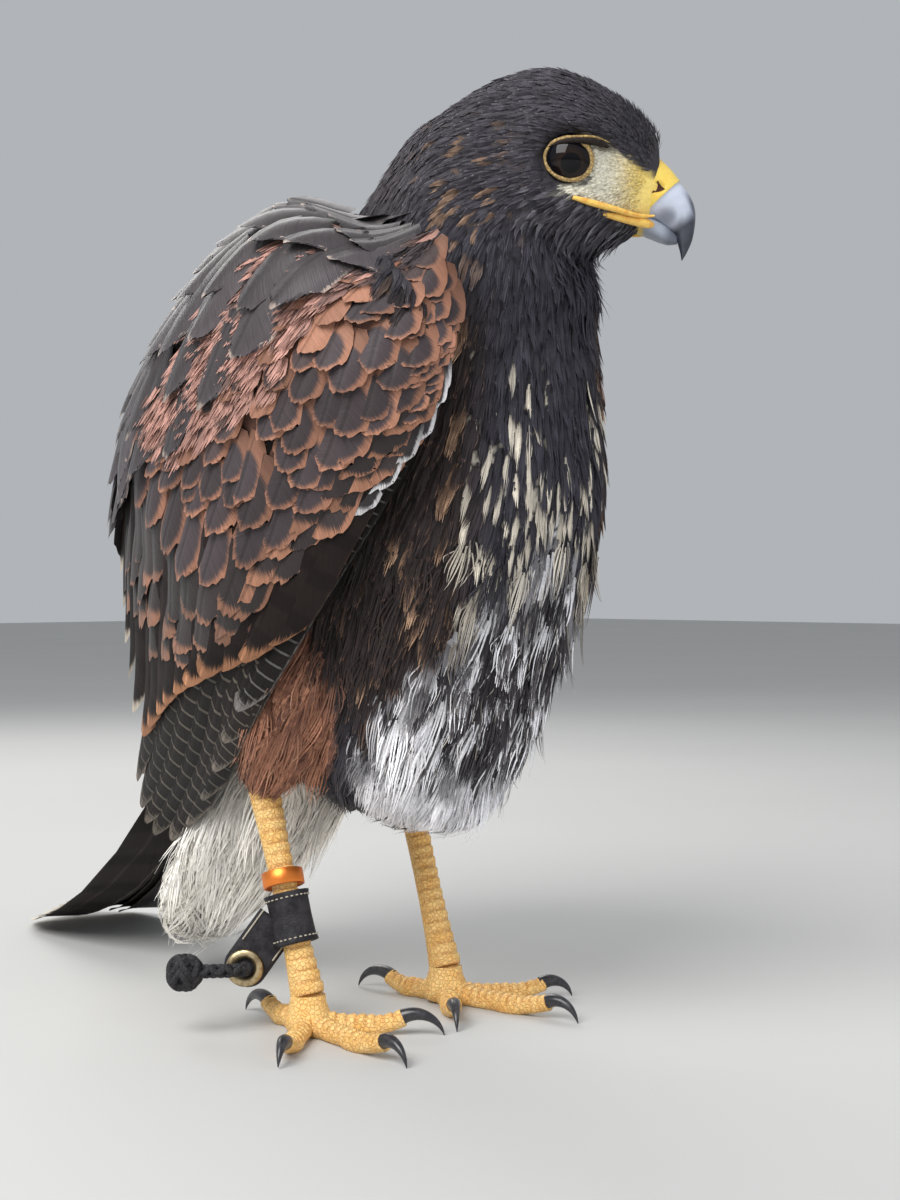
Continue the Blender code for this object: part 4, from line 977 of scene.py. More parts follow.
    # A painted shadow darkens the face in a band under the brow, in front of the eye
    near_brow = step(3.0, 0.4, np.abs(h + 0.4 + (x - 14) * 0.3))
    painted_brow_shadow = head * near_brow * step(7, 10, x) * step(23, 17, x) * 0.92
    paint(painted_brow_shadow, tint=(0.060, 0.042, 0.022), rim=(0.060, 0.042, 0.022, 0))
    paint(head, spot=(0.1, 0.08, 0.05, 0.0))
    coat["tint"][:, 3] = 0.5 + (draw.random(n) - 0.5) * (1 - 0.8 * lores)
    return coat


skin_tint_and_shade = body_colours(SKIN_CO, 1)["tint"]
# Painted shade: under the feathers the skin is darkened to 0.62 of the coat's tint, as the shade
# between them; the bare lores keep their own colour
skin_tint_and_shade[:, :3] *= (0.62 + 0.38 * on_lores(SKIN_CO))[:, None]
colour_layer = whole.color_attributes.new("tint", "FLOAT_COLOR", "POINT")
colour_layer.data.foreach_set("color", skin_tint_and_shade.astype(np.float32).ravel())
fin = Finish("skin_down", Roughness=0.8)
down = fin.noise(fin.place(), 900.0, 4.0, 0.6)
skin_colour = fin.shade(fin.attribute("tint"), 0.7 + down * 0.6)
whole.materials.clear()
whole.materials.append(fin.done(Base_Color=skin_colour, Normal=fin.bump(down, 0.0006, 0.8)))
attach(skin, "root")
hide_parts("torso", "neck", "head", "thigh_right", "thigh_left", "undertail_coverts")
print("markings ready")

# %% [markdown]
# Body feathers are scattered over the skin, evenly but not in rows, smallest on the face. The
# wings' arms and the eyes stay bare of them, because those places have feathers of their own.

# %% Body feathers
def bare(points):
    """Places with no contour feathers: the bill, the eyes and the floor's height."""
    x, y, h = head_own(points)
    z = own(points)[2]
    bill = (z > 270) & (x > np.where(h < -20, 31.0, 31.6 + 0.35 * (h + 8)))
    socket = (np.hypot((x - 4.8) / 8.6, (h + 6.2) / 7.4) < 1) & (np.abs(y) > 9) & (z > 280)
    return bill | socket | (z < 22)


def spacing(points):
    """Millimetres between neighbouring roots."""
    z = own(points)[2]
    x = head_own(points)[0]
    body = np.where(on_thigh(points) < 1.15, 2.9, 3.1 - 0.6 * step(215, 265, z))
    head = step(262, 280, z)
    face = head * (1.7 - 0.5 * step(-5, 18, x) - 0.25 * on_lores(points))
    return body * (1 - head) + face


def scatter(gap, keep, seed, surplus=1.6):
    """Roots on the skin, gap(points) millimetres apart, where keep(points) is true."""
    draw = np.random.default_rng(seed)
    share = FACE_AREA * 1e6 / gap(FACE_CENTRE) ** 2 * surplus
    many = draw.poisson(share)
    pick = np.repeat(np.arange(len(share)), many)
    draw.shuffle(pick)
    points = FACE_CENTRE[pick] + draw.uniform(-1.1, 1.1, (len(pick), 3)) * MM
    allowed = keep(points)
    points, pick = points[allowed], pick[allowed]
    gaps = gap(points)
    tree = KDTree(len(points))
    for i, p in enumerate(points):
        tree.insert(p, i)
    tree.balance()
    alive = np.ones(len(points), bool)
    for i, p in enumerate(points):
        if alive[i]:
            for _, j, _ in tree.find_range(p, gaps[i] * MM):
                if j > i:
                    alive[j] = False
    return points[alive], pick[alive]


roots, root_faces = scatter(spacing, lambda p: ~bare(p), 7)
clear = ~on_wing(roots)
roots, root_faces = settle(roots[clear])[0], root_faces[clear]
print("roots", len(roots))

# %% [markdown]
# Each group gets its own length, width, lift and prototypes. A feather is longest on the flanks
# and shortest round the eye and bill, and the belly and breast feathers are looser than the rest.

# %% Grow the body feathers
draw = np.random.default_rng(17)
f, s, z = own(roots)
x, _, h = head_own(roots)
head = step(262, 284, z)
leg = (on_thigh(roots) < 1.15) & (z < 150)
pale = on_lores(roots) > 0.5
loose = step(175, 140, z) * step(60, 80, z) * (f > -30)
length = np.where(leg, 11.0, 16.0 + 5.0 * loose - 4.0 * step(215, 265, z))
length = length * (1 - head) + head * (7.4 - 3.9 * step(-10, 20, x))
length = np.where(pale, 3.0, length) * draw.uniform(0.85, 1.15, len(roots))
half = length * np.where(leg, 0.19, 0.175)
spine, normals = walk(roots, root_faces, length, lie)
high = (1.5 + 1.3 * loose) * (1 - head) + head * 0.9
brow = head * step(20, 30, x) * step(-5, 1, h)
high = high * draw.uniform(0.7, 1.35, len(roots)) * np.where(pale, 0.55, 1) + 1.2 * brow
sway = draw.normal(0, 1.0, (len(roots), 3)) * (0.9 - 0.6 * head)[:, None]
spine = raise_spines(spine, normals, 0.3, high, sway=sway)
coat = body_colours(roots, 23)
# The cream streaks of the breast are narrow feathers
streak = (coat["tint"][:, 1] > 0.4) & (z > 150) & (head < 0.5)
half = np.where(streak, half * 0.62, half)
camber = draw.uniform(0.15, 0.5, len(roots))
roll = draw.normal(0, 0.16, len(roots))
body = (head <= 0.5) & ~leg
every_third = np.arange(len(roots)) % 3 == 0
for name, chosen, shapes, finish, slot in (
    ("coat_lores", (head > 0.5) & pale, fine_hair, lores_finish, "dark_feather"),
    ("coat_head", (head > 0.5) & ~pale, fine_hair, plume_finish, "dark_feather"),
    ("coat_thighs", (head <= 0.5) & leg, hairy, thigh_finish, "dark_feather"),
    ("coat_front", body & (f > 30), hairy, plume_finish, "white_feather"),
    ("coat_back", body & (f <= 30) & ~every_third, hairy, plume_finish, "dark_feather"),
    ("coat_under", body & (f <= 30) & every_third, contour, plume_finish, "dark_feather"),
):
    parts = bend(shapes, *(each[chosen] for each in (spine, normals, half, camber, roll)), 5)
    colours = {title: rows[chosen] for title, rows in coat.items()}
    piece = coat_piece(name, parts, finish, FACE_UV[root_faces[chosen]], colours)

# %% [markdown]
# On the belly and under the tail lie loose plumes whose barbs part like hair. They are rows of
# thin strips, and lie over the vanes so that the outline turns soft there. Short bristles do the
# same for the chin.

# %% Loose plumes of belly, vent and chin
def on_belly(points):
    f, _, z = own(points)
    return (z < 172) & (z > 45) & (f > -2) & ~on_wing(points)


def on_vent(points):
    f, _, z = own(points)
    return (z < 108) & (f < -12) & (on_thigh(points) > 1.15) & ~on_wing(points)


def on_chin(points):
    x, _, h = head_own(points)
    below_gape = (h + (x - 6) * 0.24 < -20) & (h > -42)
    return (points[:, 2] > 0.25) & (x > 0) & (x < 31) & below_gape


# Name, where, gap, length, least and most lift, width, material, prototypes, slot and seed
for name, keep, gap, size, lift, wide, finish, shapes, slot, seed in (
    ("belly_plumes", on_belly, 5.6, 25, (1.5, 5.5), 0.24, plume_finish, silk, "white_feather", 61),
    ("vent_plumes", on_vent, 3.4, 40, (2.5, 8.5), 0.20, down_finish, silk, "white_feather", 62),
    ("chin_bristles", on_chin, 1.8, 10.0, (1.6, 4.6), 0.085, plume_finish, hairy, "dark_feather",
     63),
):
    place, face = scatter(lambda p: np.full(len(p), gap), keep, seed)
    place = settle(place)[0]
    count = len(place)
    draw = np.random.default_rng(seed)
    length = size * draw.uniform(0.7, 1.3, count) * (1 + 0.4 * step(85, 35, own(place)[2]))
    spine, normals = walk(place, face, length, lie)
    high = draw.uniform(*lift, count)
    sway = draw.normal(0, 0.08 * size + 0.9, (count, 3))
    spine = raise_spines(spine, normals, 0.8, high, sway=sway)
    spine[..., 2] = np.maximum(spine[..., 2], 1.5 * MM)
    camber, roll = draw.uniform(0, 0.3, count), draw.normal(0, 0.2, count)
    parts = bend(shapes, spine, normals, length * wide, camber, roll, seed)
    piece = coat_piece(name, parts, finish, FACE_UV[face], body_colours(place, seed))

# %% [markdown]
# A folded wing is tiers of feathers. The tips of each tier end on a slanting line, from the
# leading edge down to the back edge, and every feather runs up from its tip under the tier
# before. So a tier is a line of tips on the wing's surface, with the feathers' size and lift.

# %% Tiers of a wing
def root_rise(u):
    """How much of the arm's height a feather keeps where the wing begins."""
    return step(-0.05, 0.06, u)


def wrist_rise(u):
    """The same for the wrist, where all the tiers lie close."""
    return 0.30 + 0.70 * step(-0.02, 0.16, u)


def tier(side, path, count, length, drift, lift, tip_lift, seed, jitter=1.0, base=0.35):
    """Spines of one tier: tips evenly along a path of (u, v) places, length in millimetres."""
    draw = np.random.default_rng(seed)
    path = np.asarray(path, float)
    strides = np.hypot(np.diff(path[:, 0]), 0.5 * np.diff(path[:, 1]))
    keys = np.concatenate(([0], np.cumsum(strides)))
    keys, w = keys / keys[-1], np.linspace(0, 1, count)
    u_tip = np.interp(w, keys, path[:, 0]) + draw.normal(0, 0.006 * jitter, count)
    v_tip = np.interp(w, keys, path[:, 1]) + draw.normal(0, 0.008 * jitter, count)
    size = length * draw.uniform(1 - 0.06 * jitter, 1 + 0.06 * jitter, count)
    reach = size[:, None] * 0.0031
    t = np.linspace(0, 1, 7)[None]
    u = u_tip[:, None] - reach * (1 - t)
    v = v_tip[:, None] + reach * drift * (1 - t) ** 1.1
    own_lift = lift * (base + (1 - base) * t)
    own_lift = own_lift + (tip_lift * draw.uniform(0.6, 1.4, count)[:, None]) * t**2
    height = (arm_top(u, np.clip(v, 0, 1)) * root_rise(u) + own_lift) * wrist_rise(u)
    # Each feather lies a little over the one before
    height = height + np.arange(count)[:, None] * 0.02
    return (*wing_point(side, u, v, height), w)


def root_patches(spine):
    """Where feathers that grow from a wing or the tail have their place in the OFBake map."""
    return FACE_UV[settle(spine[:, 0])[2]]


def wing_piece(name, side, tiers, half, shapes, material, colours, seed, camber=0.35, roll=0.10):
    word = dict(SIDES)[side]
    spine, normal, _ = (np.concatenate(part) for part in zip(*tiers))
    count = len(spine)
    draw = np.random.default_rng(seed)
    half = np.broadcast_to(half, count)
    bow, lean = camber * draw.uniform(0.6, 1.3, count), draw.normal(roll * side, 0.04, count)
    parts = bend(shapes, spine, normal, half, bow, lean, seed)
    piece = coat_piece(f"{name}_{word}", parts, material, root_patches(spine), colours)
    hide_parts("wing_" + word)


def tone(colour, count, alpha, draw, spread=0.12):
    """One colour for many feathers, with small differences."""
    base = np.tile((*colour, 0.0), (count, 1))
    base[:, :3] *= draw.uniform(1 - spread, 1 + spread, (count, 1))
    base[:, 3] = alpha
    return base


def dyes(draw, count, tint, rim, rim_wide, spot=(0.02, 0.02, 0.02), much=0.0, spread=0.12):
    """The three colour attributes of many feathers of one kind."""
    return {"tint": tone(tint, count, draw.random(count), draw, spread),
            "rim": tone(rim, count, rim_wide, draw),
            "spot": tone(spot, count, much, draw)}


print("tiers ready")

# %% [markdown]
# Gaps between coverts would look into the hollow body, so a thin web lies under them. The quills
# share one long vane. Primaries run out under the secondaries to the wing's own tip, and each tip
# is placed by itself. The secondaries end in a rufous edge and the tertials behind in a buff one.

# %% Web and quills
QUILL = ([0, 0.2, 0.4, 0.6, 0.75, 0.86, 0.93, 0.97, 1.0],
         [0.5, 0.9, 1, 1, 1, 0.98, 0.93, 0.86, 0.74])
long_vane = vane_shape(8, *QUILL, tooth=0.008, seed=71, rounding=0.09)
web_material = two_tone("covert_web", ("noise", 400.0, 3.0, 0.6), (0.05, 0.03, 0.026),
                        (0.20, 0.10, 0.075), rough=(0.8, 0.0), Specular_IOR_Level=0.1)
PRIMARY_TIPS = [(0.63, -0.02), (0.70, -0.06), (0.77, -0.12), (0.84, -0.18), (0.91, -0.22),
                (0.97, -0.20), (1.0, -0.06), (1.0, 0.14), (0.985, 0.34), (0.96, 0.54)]


def covert_web(side, word):
    bm, v = bmesh.new(), np.linspace(0.03, 0.97, 24)
    rings = []
    for u in np.linspace(0.02, 0.55, 40):
        top = arm_top(u, v) * root_rise(u) * wrist_rise(u) + 0.5
        upper, under = (wing_point(side, u, v, height)[0] for height in (top, top - 0.8))
        rings.append(np.concatenate((upper, under[::-1])))
    loft(bm, rings)
    web = finish_mesh(bm, "covert_web_" + word)
    web.data.materials.append(web_material)
    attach(web, "root")
    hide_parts("wing_" + word)


def primaries(side, draw):
    t = np.linspace(0, 1, 9)[None]
    tiers = []
    for k, (u_tip, v_tip) in enumerate(PRIMARY_TIPS):
        u0, v0 = 0.16 + 0.02 * k, 0.04 + 0.03 * k
        u = u0 + (u_tip - u0) * t
        v = v0 + (v_tip - 0.04 - 0.03 * k) * t**2
        height = arm_top(u, v) * 0.5 + 0.9 - 0.13 * k
        tiers.append((*wing_point(side, u, v, height), np.zeros(1)))
    colours = dyes(draw, len(tiers), (0.015, 0.012, 0.011), (0.17, 0.145, 0.12), 0.03)
    colours["rim"][0] = (0.24, 0.22, 0.21, 0.04)
    wing_piece("primaries", side, tiers, 8.5, [long_vane], primary_finish, colours, 1, camber=0.25)


def secondaries(side, draw):
    many, tertials = 10, 5
    tiers = [
        tier(side, [(0.52, 0.0), (0.87, 0.46)], many, 120.0, 0.35, 1.2, 0.6, 11, jitter=0.4),
        tier(side, [(0.86, 0.60), (0.74, 0.98)], tertials, 105.0, 0.30, 2.0, 0.8, 12, jitter=0.5),
    ]
    colours = dyes(draw, many + tertials, (0.016, 0.011, 0.010), (0.36, 0.17, 0.09), 0.055)
    rim = colours["rim"]
    rim[0, 3] = 0.02
    rim[many:] = (0.50, 0.44, 0.36, 0.05)
    wing_piece("secondaries", side, tiers, 10.5, [long_vane], quill_finish, colours, 2)


print("quills ready")

# %% [markdown]
# The coverts' lines of tips were read off the real bird's wing: greater coverts with rufous tips,
# median ones with dark centres, then many small rufous lesser ones, which turn dark by the wrist.
# Lines between two of them are a mix of both, so one short table carries the whole arm.

# %% Coverts
COVERT_TIPS = np.array([
    [(0.25, 0.04), (0.35, 0.06), (0.41, 0.08), (0.50, 0.10), (0.61, 0.155), (0.70, 0.345),
     (0.753, 0.86)],
    [(0.18, 0.06), (0.29, 0.09), (0.35, 0.115), (0.45, 0.12), (0.55, 0.17), (0.61, 0.30),
     (0.63, 0.62)],
    [(0.10, 0.06), (0.22, 0.11), (0.29, 0.145), (0.40, 0.145), (0.49, 0.185), (0.54, 0.31),
     (0.55, 0.60)],
    [(0.03, 0.07), (0.14, 0.14), (0.22, 0.18), (0.33, 0.17), (0.43, 0.21), (0.48, 0.32),
     (0.49, 0.57)],
])
SHOULDER_LINE = np.array([(-0.01, 0.74), (0.08, 0.74), (0.19, 0.68), (0.25, 0.64), (0.34, 0.64),
                          (0.41, 0.62), (0.45, 0.64)])


def towards_shoulder(share):
    return COVERT_TIPS[3] * (1 - share) + SHOULDER_LINE * share


def edge_coverts(side, draw):
    tiers = [tier(side, [(0.14, -0.01), (0.34, 0.02)], 6, 36.0, 0.5, 1.6, 0.3, 13, jitter=0.5)]
    colours = dyes(draw, 6, (0.030, 0.026, 0.028), (0.62, 0.60, 0.61), 0.16)
    wing_piece("edge_coverts", side, tiers, 6.0, covert, covert_finish, colours, 3)


def greater_coverts(side, draw):
    between = (COVERT_TIPS[0] + COVERT_TIPS[1]) / 2
    tiers = [tier(side, COVERT_TIPS[0], 15, 44.0, 0.6, 1.5, 0.8, 14),
             tier(side, COVERT_TIPS[1], 15, 40.0, 0.7, 2.0, 0.9, 17),
             tier(side, between, 15, 42.0, 0.6, 1.7, 0.9, 18)]
    colours = dyes(draw, 45, (0.032, 0.024, 0.024), (0.30, 0.14, 0.085), 0.0)
    colours["rim"][:, 3] = draw.uniform(0.06, 0.24, 45)
    wing_piece("greater_coverts", side, tiers, 9.5, covert, covert_finish, colours, 4)


def median_coverts(side, draw):
    tiers = [tier(side, COVERT_TIPS[2], 14, 36.0, 0.8, 2.5, 0.9, 15),
             tier(side, COVERT_TIPS[3], 14, 30.0, 0.8, 3.0, 1.0, 16),
             tier(side, [(0.03, 0.02), (0.20, 0.04)], 8, 18.0, 0.6, 3.0, 0.5, 19),
             tier(side, [(0.0, 0.09), (0.16, 0.10)], 8, 18.0, 0.7, 3.3, 0.5, 21),
             tier(side, [(-0.01, 0.17), (0.10, 0.20)], 6, 17.0, 0.7, 3.6, 0.5, 22)]
    for k, share in enumerate((0.15, 0.30, 0.45, 0.60)):
        line = towards_shoulder(share)
        size, lift = 27.0 - 2.5 * k, 3.5 + 0.35 * k
        tiers.append(tier(side, line, 13, size, 0.9, lift, 0.9, 24 + k, jitter=2.0))
    half = np.repeat((9.0, 5.6, 7.6, 6.4), (28, 22, 26, 26))
    colours = dyes(draw, len(half), (0.31, 0.145, 0.092), (0.33, 0.155, 0.098), 0.06,
                   (0.040, 0.034, 0.040), 0.96)
    colours["spot"][-26:, 3] = 0.9 * (draw.random(26) < 0.55)
    wing_piece("median_coverts", side, tiers, half, covert, covert_finish, colours, 5)


def lesser_coverts(side, draw):
    rows, each = 15, 34
    tiers = []
    for k in range(rows):
        line = towards_shoulder(0.50 + 0.48 * k / 14)
        size, lift = 14.5 - 0.2 * k, 4.9 + 0.06 * k
        tiers.append(tier(side, line, each, size, 0.9, lift, 0.7, 120 + k, jitter=2.4))
    count = rows * each
    along = np.concatenate([each_tier[-1] for each_tier in tiers])
    up = np.repeat(np.arange(rows) / 14, each)
    dark = step(0.30, 0.12, along) * step(0.75, 0.35, up) * (draw.random(count) < 0.75)
    colours = dyes(draw, count, (0.46, 0.25, 0.205), (0.44, 0.26, 0.19), 0.08,
                   (0.09, 0.06, 0.055), spread=0.18)
    tint, dark = colours["tint"], dark[:, None]
    tint[:, :3] = tint[:, :3] * (1 - dark) + np.array((0.050, 0.038, 0.042)) * dark
    colours["spot"][:, 3] = 0.8 * (draw.random(count) < 0.16)
    wing_piece("lesser_coverts", side, tiers, 4.0, hairy, plume_finish, colours, 6)


print("covert tiers ready")

# %% [markdown]
# The scapulars are loose tiers of large silky feathers over the wing's root. Then each wing is
# feathered from below upwards, with one run of chance for all its colours.

# %% Scapulars, and both wings
SILKY = ([0, 0.18, 0.36, 0.54, 0.7, 0.82, 0.91, 0.97, 1.0],
         [0.4, 0.75, 0.95, 1, 1, 0.97, 0.9, 0.82, 0.72])
silky = [vane_shape(12, *SILKY, tooth=0.07, seed=80 + k, rounding=0.24) for k in range(5)]
# First and last u of a row, v of its first feather, length and lift
SCAPULAR_ROWS = ((0.04, 0.14, 0.58, 38, 8.6), (0.10, 0.30, 0.52, 46, 8.2),
                 (0.18, 0.42, 0.49, 50, 7.6), (0.27, 0.54, 0.48, 54, 7.0),
                 (0.36, 0.64, 0.48, 56, 6.2), (0.46, 0.73, 0.50, 58, 5.4))


def scapulars(side, draw):
    tiers = []
    for k, (first, last, v, size, lift) in enumerate(SCAPULAR_ROWS):
        line = [(first, v), ((first + last) / 2, 0.76), (last, 1.10)]
        tiers.append(tier(side, line, 7, size, 0.9, lift, 1.6, 30 + k, jitter=1.8, base=0.8))
    colours = dyes(draw, 42, (0.078, 0.066, 0.072), (0.34, 0.27, 0.23), 0.055,
                   (0.040, 0.034, 0.036), 0.6, spread=0.25)
    colours["tint"][:14, :3] *= 0.62
    wing_piece("scapulars", side, tiers, 12.0, silky, scapular_finish, colours, 7, camber=0.5)


for side, word in SIDES:
    draw = np.random.default_rng(90 + side)
    covert_web(side, word)
    for feather in (primaries, secondaries, edge_coverts, greater_coverts, median_coverts,
                    lesser_coverts, scapulars):
        feather(side, draw)

# %% [markdown]
# Between the two wings the mantle's feathers bridge the hollow of the back. They lie on a sheet of
# places drawn from one wing's back edge to the other's, which swells a little in the middle.

# %% Mantle
def mantle_place(u, w):
    left, right = (wing_point(side, u, 0.97, 2.0)[0] for side in (-1, 1))
    return left + (right - left) * w[..., None]


MANTLE_ROWS, MANTLE_COLUMNS = 19, 8
draw = np.random.default_rng(70)
rows, across = np.meshgrid(np.linspace(0.05, 0.72, MANTLE_ROWS), np.arange(MANTLE_COLUMNS),
                           indexing="ij")
stagger = np.arange(MANTLE_ROWS)[:, None] % 2 * 0.5
share = (across + stagger + 0.15) / MANTLE_COLUMNS + draw.normal(0, 0.012, across.shape)
u_tip = (rows + draw.normal(0, 0.008 + 0.03 * rows**3, rows.shape)).ravel()
t = np.linspace(0, 1, 7)[None]
u = u_tip[:, None] - 0.12 * (1 - t)
w = share.ravel()[:, None] + 0 * t
down_way = mantle_place(u + 0.01, w) - mantle_place(u - 0.01, w)
side_way = mantle_place(u, w + 0.01) - mantle_place(u, w - 0.01)
normal = unit(np.cross(down_way, side_way))
outwards = at(-1.0, 0.0, 0.5) - at(0.0, 0.0, 0.0)
normal *= np.sign(normal @ outwards)[..., None]
count = len(w)
loose_tip = (0.6 + 1.8 * t**2) * draw.uniform(0.7, 1.3, count)[:, None]
swell = 1.0 + 5.0 * np.sin(np.clip(w, 0, 1) * math.pi) + loose_tip
spine = mantle_place(u, w) + normal * swell[..., None] * MM
half, camber = draw.uniform(7.5, 9.5, count), draw.uniform(0.2, 0.5, count)
parts = bend(silky, spine, normal, half, camber, draw.normal(0, 0.06, count), 9)
colours = dyes(draw, count, (0.055, 0.045, 0.048), (0.26, 0.17, 0.12), 0.06,
               (0.030, 0.026, 0.028), 0.5, spread=0.25)
piece = coat_piece("mantle", parts, scapular_finish, root_patches(spine), colours)

# %% [markdown]
# The tail is a narrow folded fan: the middle pair lies on top, and each pair further out lies
# under the one before. Its feathers are dark with a pale tip.

# %% Tail
t = np.linspace(0, 1, 9)
spine, normal = [], []
for side, _ in SIDES:
    for k in range(6):
        x = 2 + (TAIL_LENGTH - 3 - 1.6 * k) * t
        y = side * (11 + 14 * t) * (k + 0.35) / 6
        lift = 3.6 - 1.15 * k + 0.2 * side
        spine.append(tail_point(x, y, lift))
        normal.append(unit(tail_point(x, y, lift + 1) - tail_point(x, y, lift)))
spine, normal = np.array(spine), np.array(normal)
many = len(spine)
draw = np.random.default_rng(44)
parts = bend([long_vane], spine, normal, np.full(many, 13.5), np.full(many, 0.12),
             np.zeros(many), 3)
colours = dyes(draw, many, (0.030, 0.024, 0.024), (0.60, 0.54, 0.44), 0.05)
piece = coat_piece("tail_feathers", parts, quill_finish, root_patches(spine), colours)
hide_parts("tail")

# %% [markdown]
# The bill is two lofts in the head's own frame. The cere is the first part of the upper one, a
# little proud, with a hollow at the nostril. Each row of a table gives the profile's upper and
# lower edge and the half width, so the hook follows a curve that a plain stack could not.

# %% Shape of the bill
# Upper edge forward and up, lower edge forward and up, half width
UPPER_BILL = [
    (29, 4.6, 21, -17.0, 9.8), (35.5, -0.6, 25, -18.6, 9.3), (39.6, -4.4, 27.6, -19.4, 8.6),
    (42.8, -8.4, 30.4, -20.2, 7.5), (45.9, -11.9, 35.0, -21.3, 6.2),
    (48.0, -16.4, 38.2, -23.4, 4.9), (48.4, -21.0, 41.4, -25.6, 3.7),
    (47.5, -27.0, 42.8, -29.4, 2.3), (45.8, -31.2, 43.5, -32.2, 1.2),
    (44.1, -34.1, 43.8, -34.2, 0.35),
]
LOWER_BILL = [(22, -17.0, 23, -20.0, 3.6), (28, -19.6, 28.6, -24.4, 6.2),
              (34, -20.6, 34.4, -27.2, 5.7), (38.6, -23.0, 39, -28.9, 3.8),
              (42.2, -25.6, 42.3, -28.8, 1.2)]
CERE_END, CERE_PROUD, NOSTRIL = 3.0, 0.45, (35.3, -11.7)


def bill_rings(rows, shares, grow=0.0, sides=40, hollow=False):
    """Rings of a bill at shares of its table's rows, grown outwards, with the nostril's hollow."""
    rings = []
    angle = np.linspace(0, math.tau, sides, endpoint=False)
    for t in shares:
        top_x, top_z, low_x, low_z, wide = table_at(range(len(rows)), rows, np.array([t]))[0]
        centre = np.array(((top_x + low_x) / 2, (top_z + low_z) / 2))
        half = np.array(((top_x - low_x) / 2, (top_z - low_z) / 2))
        half = half * (1 + grow / max(np.hypot(*half), 0.1))
        x, z = centre[0] + half[0] * np.cos(angle), centre[1] + half[1] * np.cos(angle)
        y = (wide + grow) * power(np.sin(angle), 0.85)
        if hollow:
            near = np.hypot((x - NOSTRIL[0]) * 0.85, z - NOSTRIL[1])
            y = y * (1 - 0.20 * step(2.2, 0.9, near))
        rings.append(head_point(x, y, z))
    return rings


def simple_piece(bm, name, material, slot_name, *replaced):
    obj = finish_mesh(bm, name)
    obj.data.materials.append(material)
    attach(obj, "root")
    if replaced:
        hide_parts(*replaced)
    return obj


print("bill rows", len(UPPER_BILL), len(LOWER_BILL))

# %% [markdown]
# Horn is glossy and blue-grey, and turns nearly black on the hook. Two values on the mesh say how
# far a point lies along the bill and how far it faces forward, so the dark follows the curve.

# %% Horn of the upper bill
horn = Finish("bill_horn", Specular_IOR_Level=0.55, Coat_Weight=0.25, Coat_Roughness=0.18)
grain = horn.noise(horn.place(), 260.0, 4.0, 0.6)
wear = horn.noise(horn.place(), 70.0, 3.0, 0.5)
front, reach = horn.attribute("front", "Fac"), horn.attribute("reach", "Fac")
hook = (reach + (wear - 0.5) * 1.2).above(5.0, 6.2)
ridge = (front + (wear - 0.5) * 0.3).above(0.55, 0.9) * reach.above(3.4, 4.8) * 0.9
horn_colour = horn.mix(hook.most(ridge), (0.51, 0.55, 0.65), (0.018, 0.021, 0.033))
right, left = (horn.from_point(head_point(39.0, side * 5.0, -21.0)) for side, _ in SIDES)
smudge = (right.least(left) + (wear - 0.5) * 0.006).below(0.0010, 0.0055)
clouds = (wear.above(0.5, 0.75) * 0.35).most(smudge * 0.8)
horn_colour = horn.mix(clouds, horn_colour, (0.11, 0.12, 0.16))
horn.done(Base_Color=horn.shade(horn_colour, 0.85 + grain * 0.3),
          Roughness=0.22 + grain * 0.16, Normal=horn.bump(grain, 0.0002, 0.5))

bm = bmesh.new()
horn_rings, horn_sides = np.linspace(CERE_END - 0.12, 9, 60), 40
loft(bm, bill_rings(UPPER_BILL, horn_rings, sides=horn_sides))
bm.verts.ensure_lookup_table()
fronts, reaches = (bm.verts.layers.float.new(title) for title in ("front", "reach"))
for i in range(len(horn_rings) * horn_sides):
    bm.verts[i][fronts] = math.cos(i % horn_sides * math.tau / horn_sides)
    bm.verts[i][reaches] = horn_rings[i // horn_sides]
simple_piece(bm, "upper_bill_horn", horn.material, "horn", "upper_bill")
print("upper bill", len(horn_rings), "rings")

# %% [markdown]
# The cere is waxy yellow skin. The nostril is a small triangle coloured dark as painted shade in
# its opening; a triangle is where three straight edges are all on the inner side: the largest of
# three distances is a shape of its own.

# %% Cere and nostril
waxy = Finish("cere_wax", Specular_IOR_Level=0.45, Subsurface_Weight=0.12,
              Subsurface_Scale=0.002)
pores = waxy.noise(waxy.place(), 1100.0, 3.0, 0.6)
patches = waxy.noise(waxy.place(), 160.0, 3.0, 0.5)
cere_colour = waxy.mix(patches.above(0.4, 0.7) * 0.6, (0.82, 0.60, 0.12), (0.84, 0.50, 0.08))
HEAD_AHEAD = unit(head_point(1, 0, 0) - head_point(0, 0, 0))
HEAD_UP = unit(head_point(0, 0, 1) - head_point(0, 0, 0))
hole = head_point(NOSTRIL[0], 6.2, NOSTRIL[1])


def from_hole(ahead, up):
    """Millimetres from the nostril's middle, measured one way in the head's own plane."""
    along = HEAD_AHEAD * ahead + HEAD_UP * up
    return (waxy.from_point(along, "DOT_PRODUCT") - float(hole @ along)) / MM


outside = (from_hole(0.31, -0.95) / 1.2).most(from_hole(0.707, 0.707) / 1.25)
outside = outside.most(from_hole(-0.9, 0.436) / 1.25)
# Painted shade: the nostril's opening is coloured nearly black over the shallow hollow
nostril = (outside + (patches - 0.5) * 0.25).below(0.95, 1.15)
cere_colour = waxy.mix(nostril, cere_colour, (0.06, 0.014, 0.010))
waxy.done(Base_Color=waxy.shade(cere_colour, 0.85 + pores * 0.3),
          Roughness=0.36 + pores * 0.2, Normal=waxy.bump(pores + patches, 0.0004, 0.6))
bm = bmesh.new()
cere_rings = np.linspace(-0.2, CERE_END, 48)
loft(bm, bill_rings(UPPER_BILL, cere_rings, CERE_PROUD, 96, hollow=True))
simple_piece(bm, "cere_skin", waxy.material, "cere_skin", "cere")
print("cere", len(cere_rings), "rings")

# %% [markdown]
# The lower bill is yellow where it leaves the chin and horn towards its tip. The distance from
# its root carries the change, with a little noise so that the border is not a clean line.

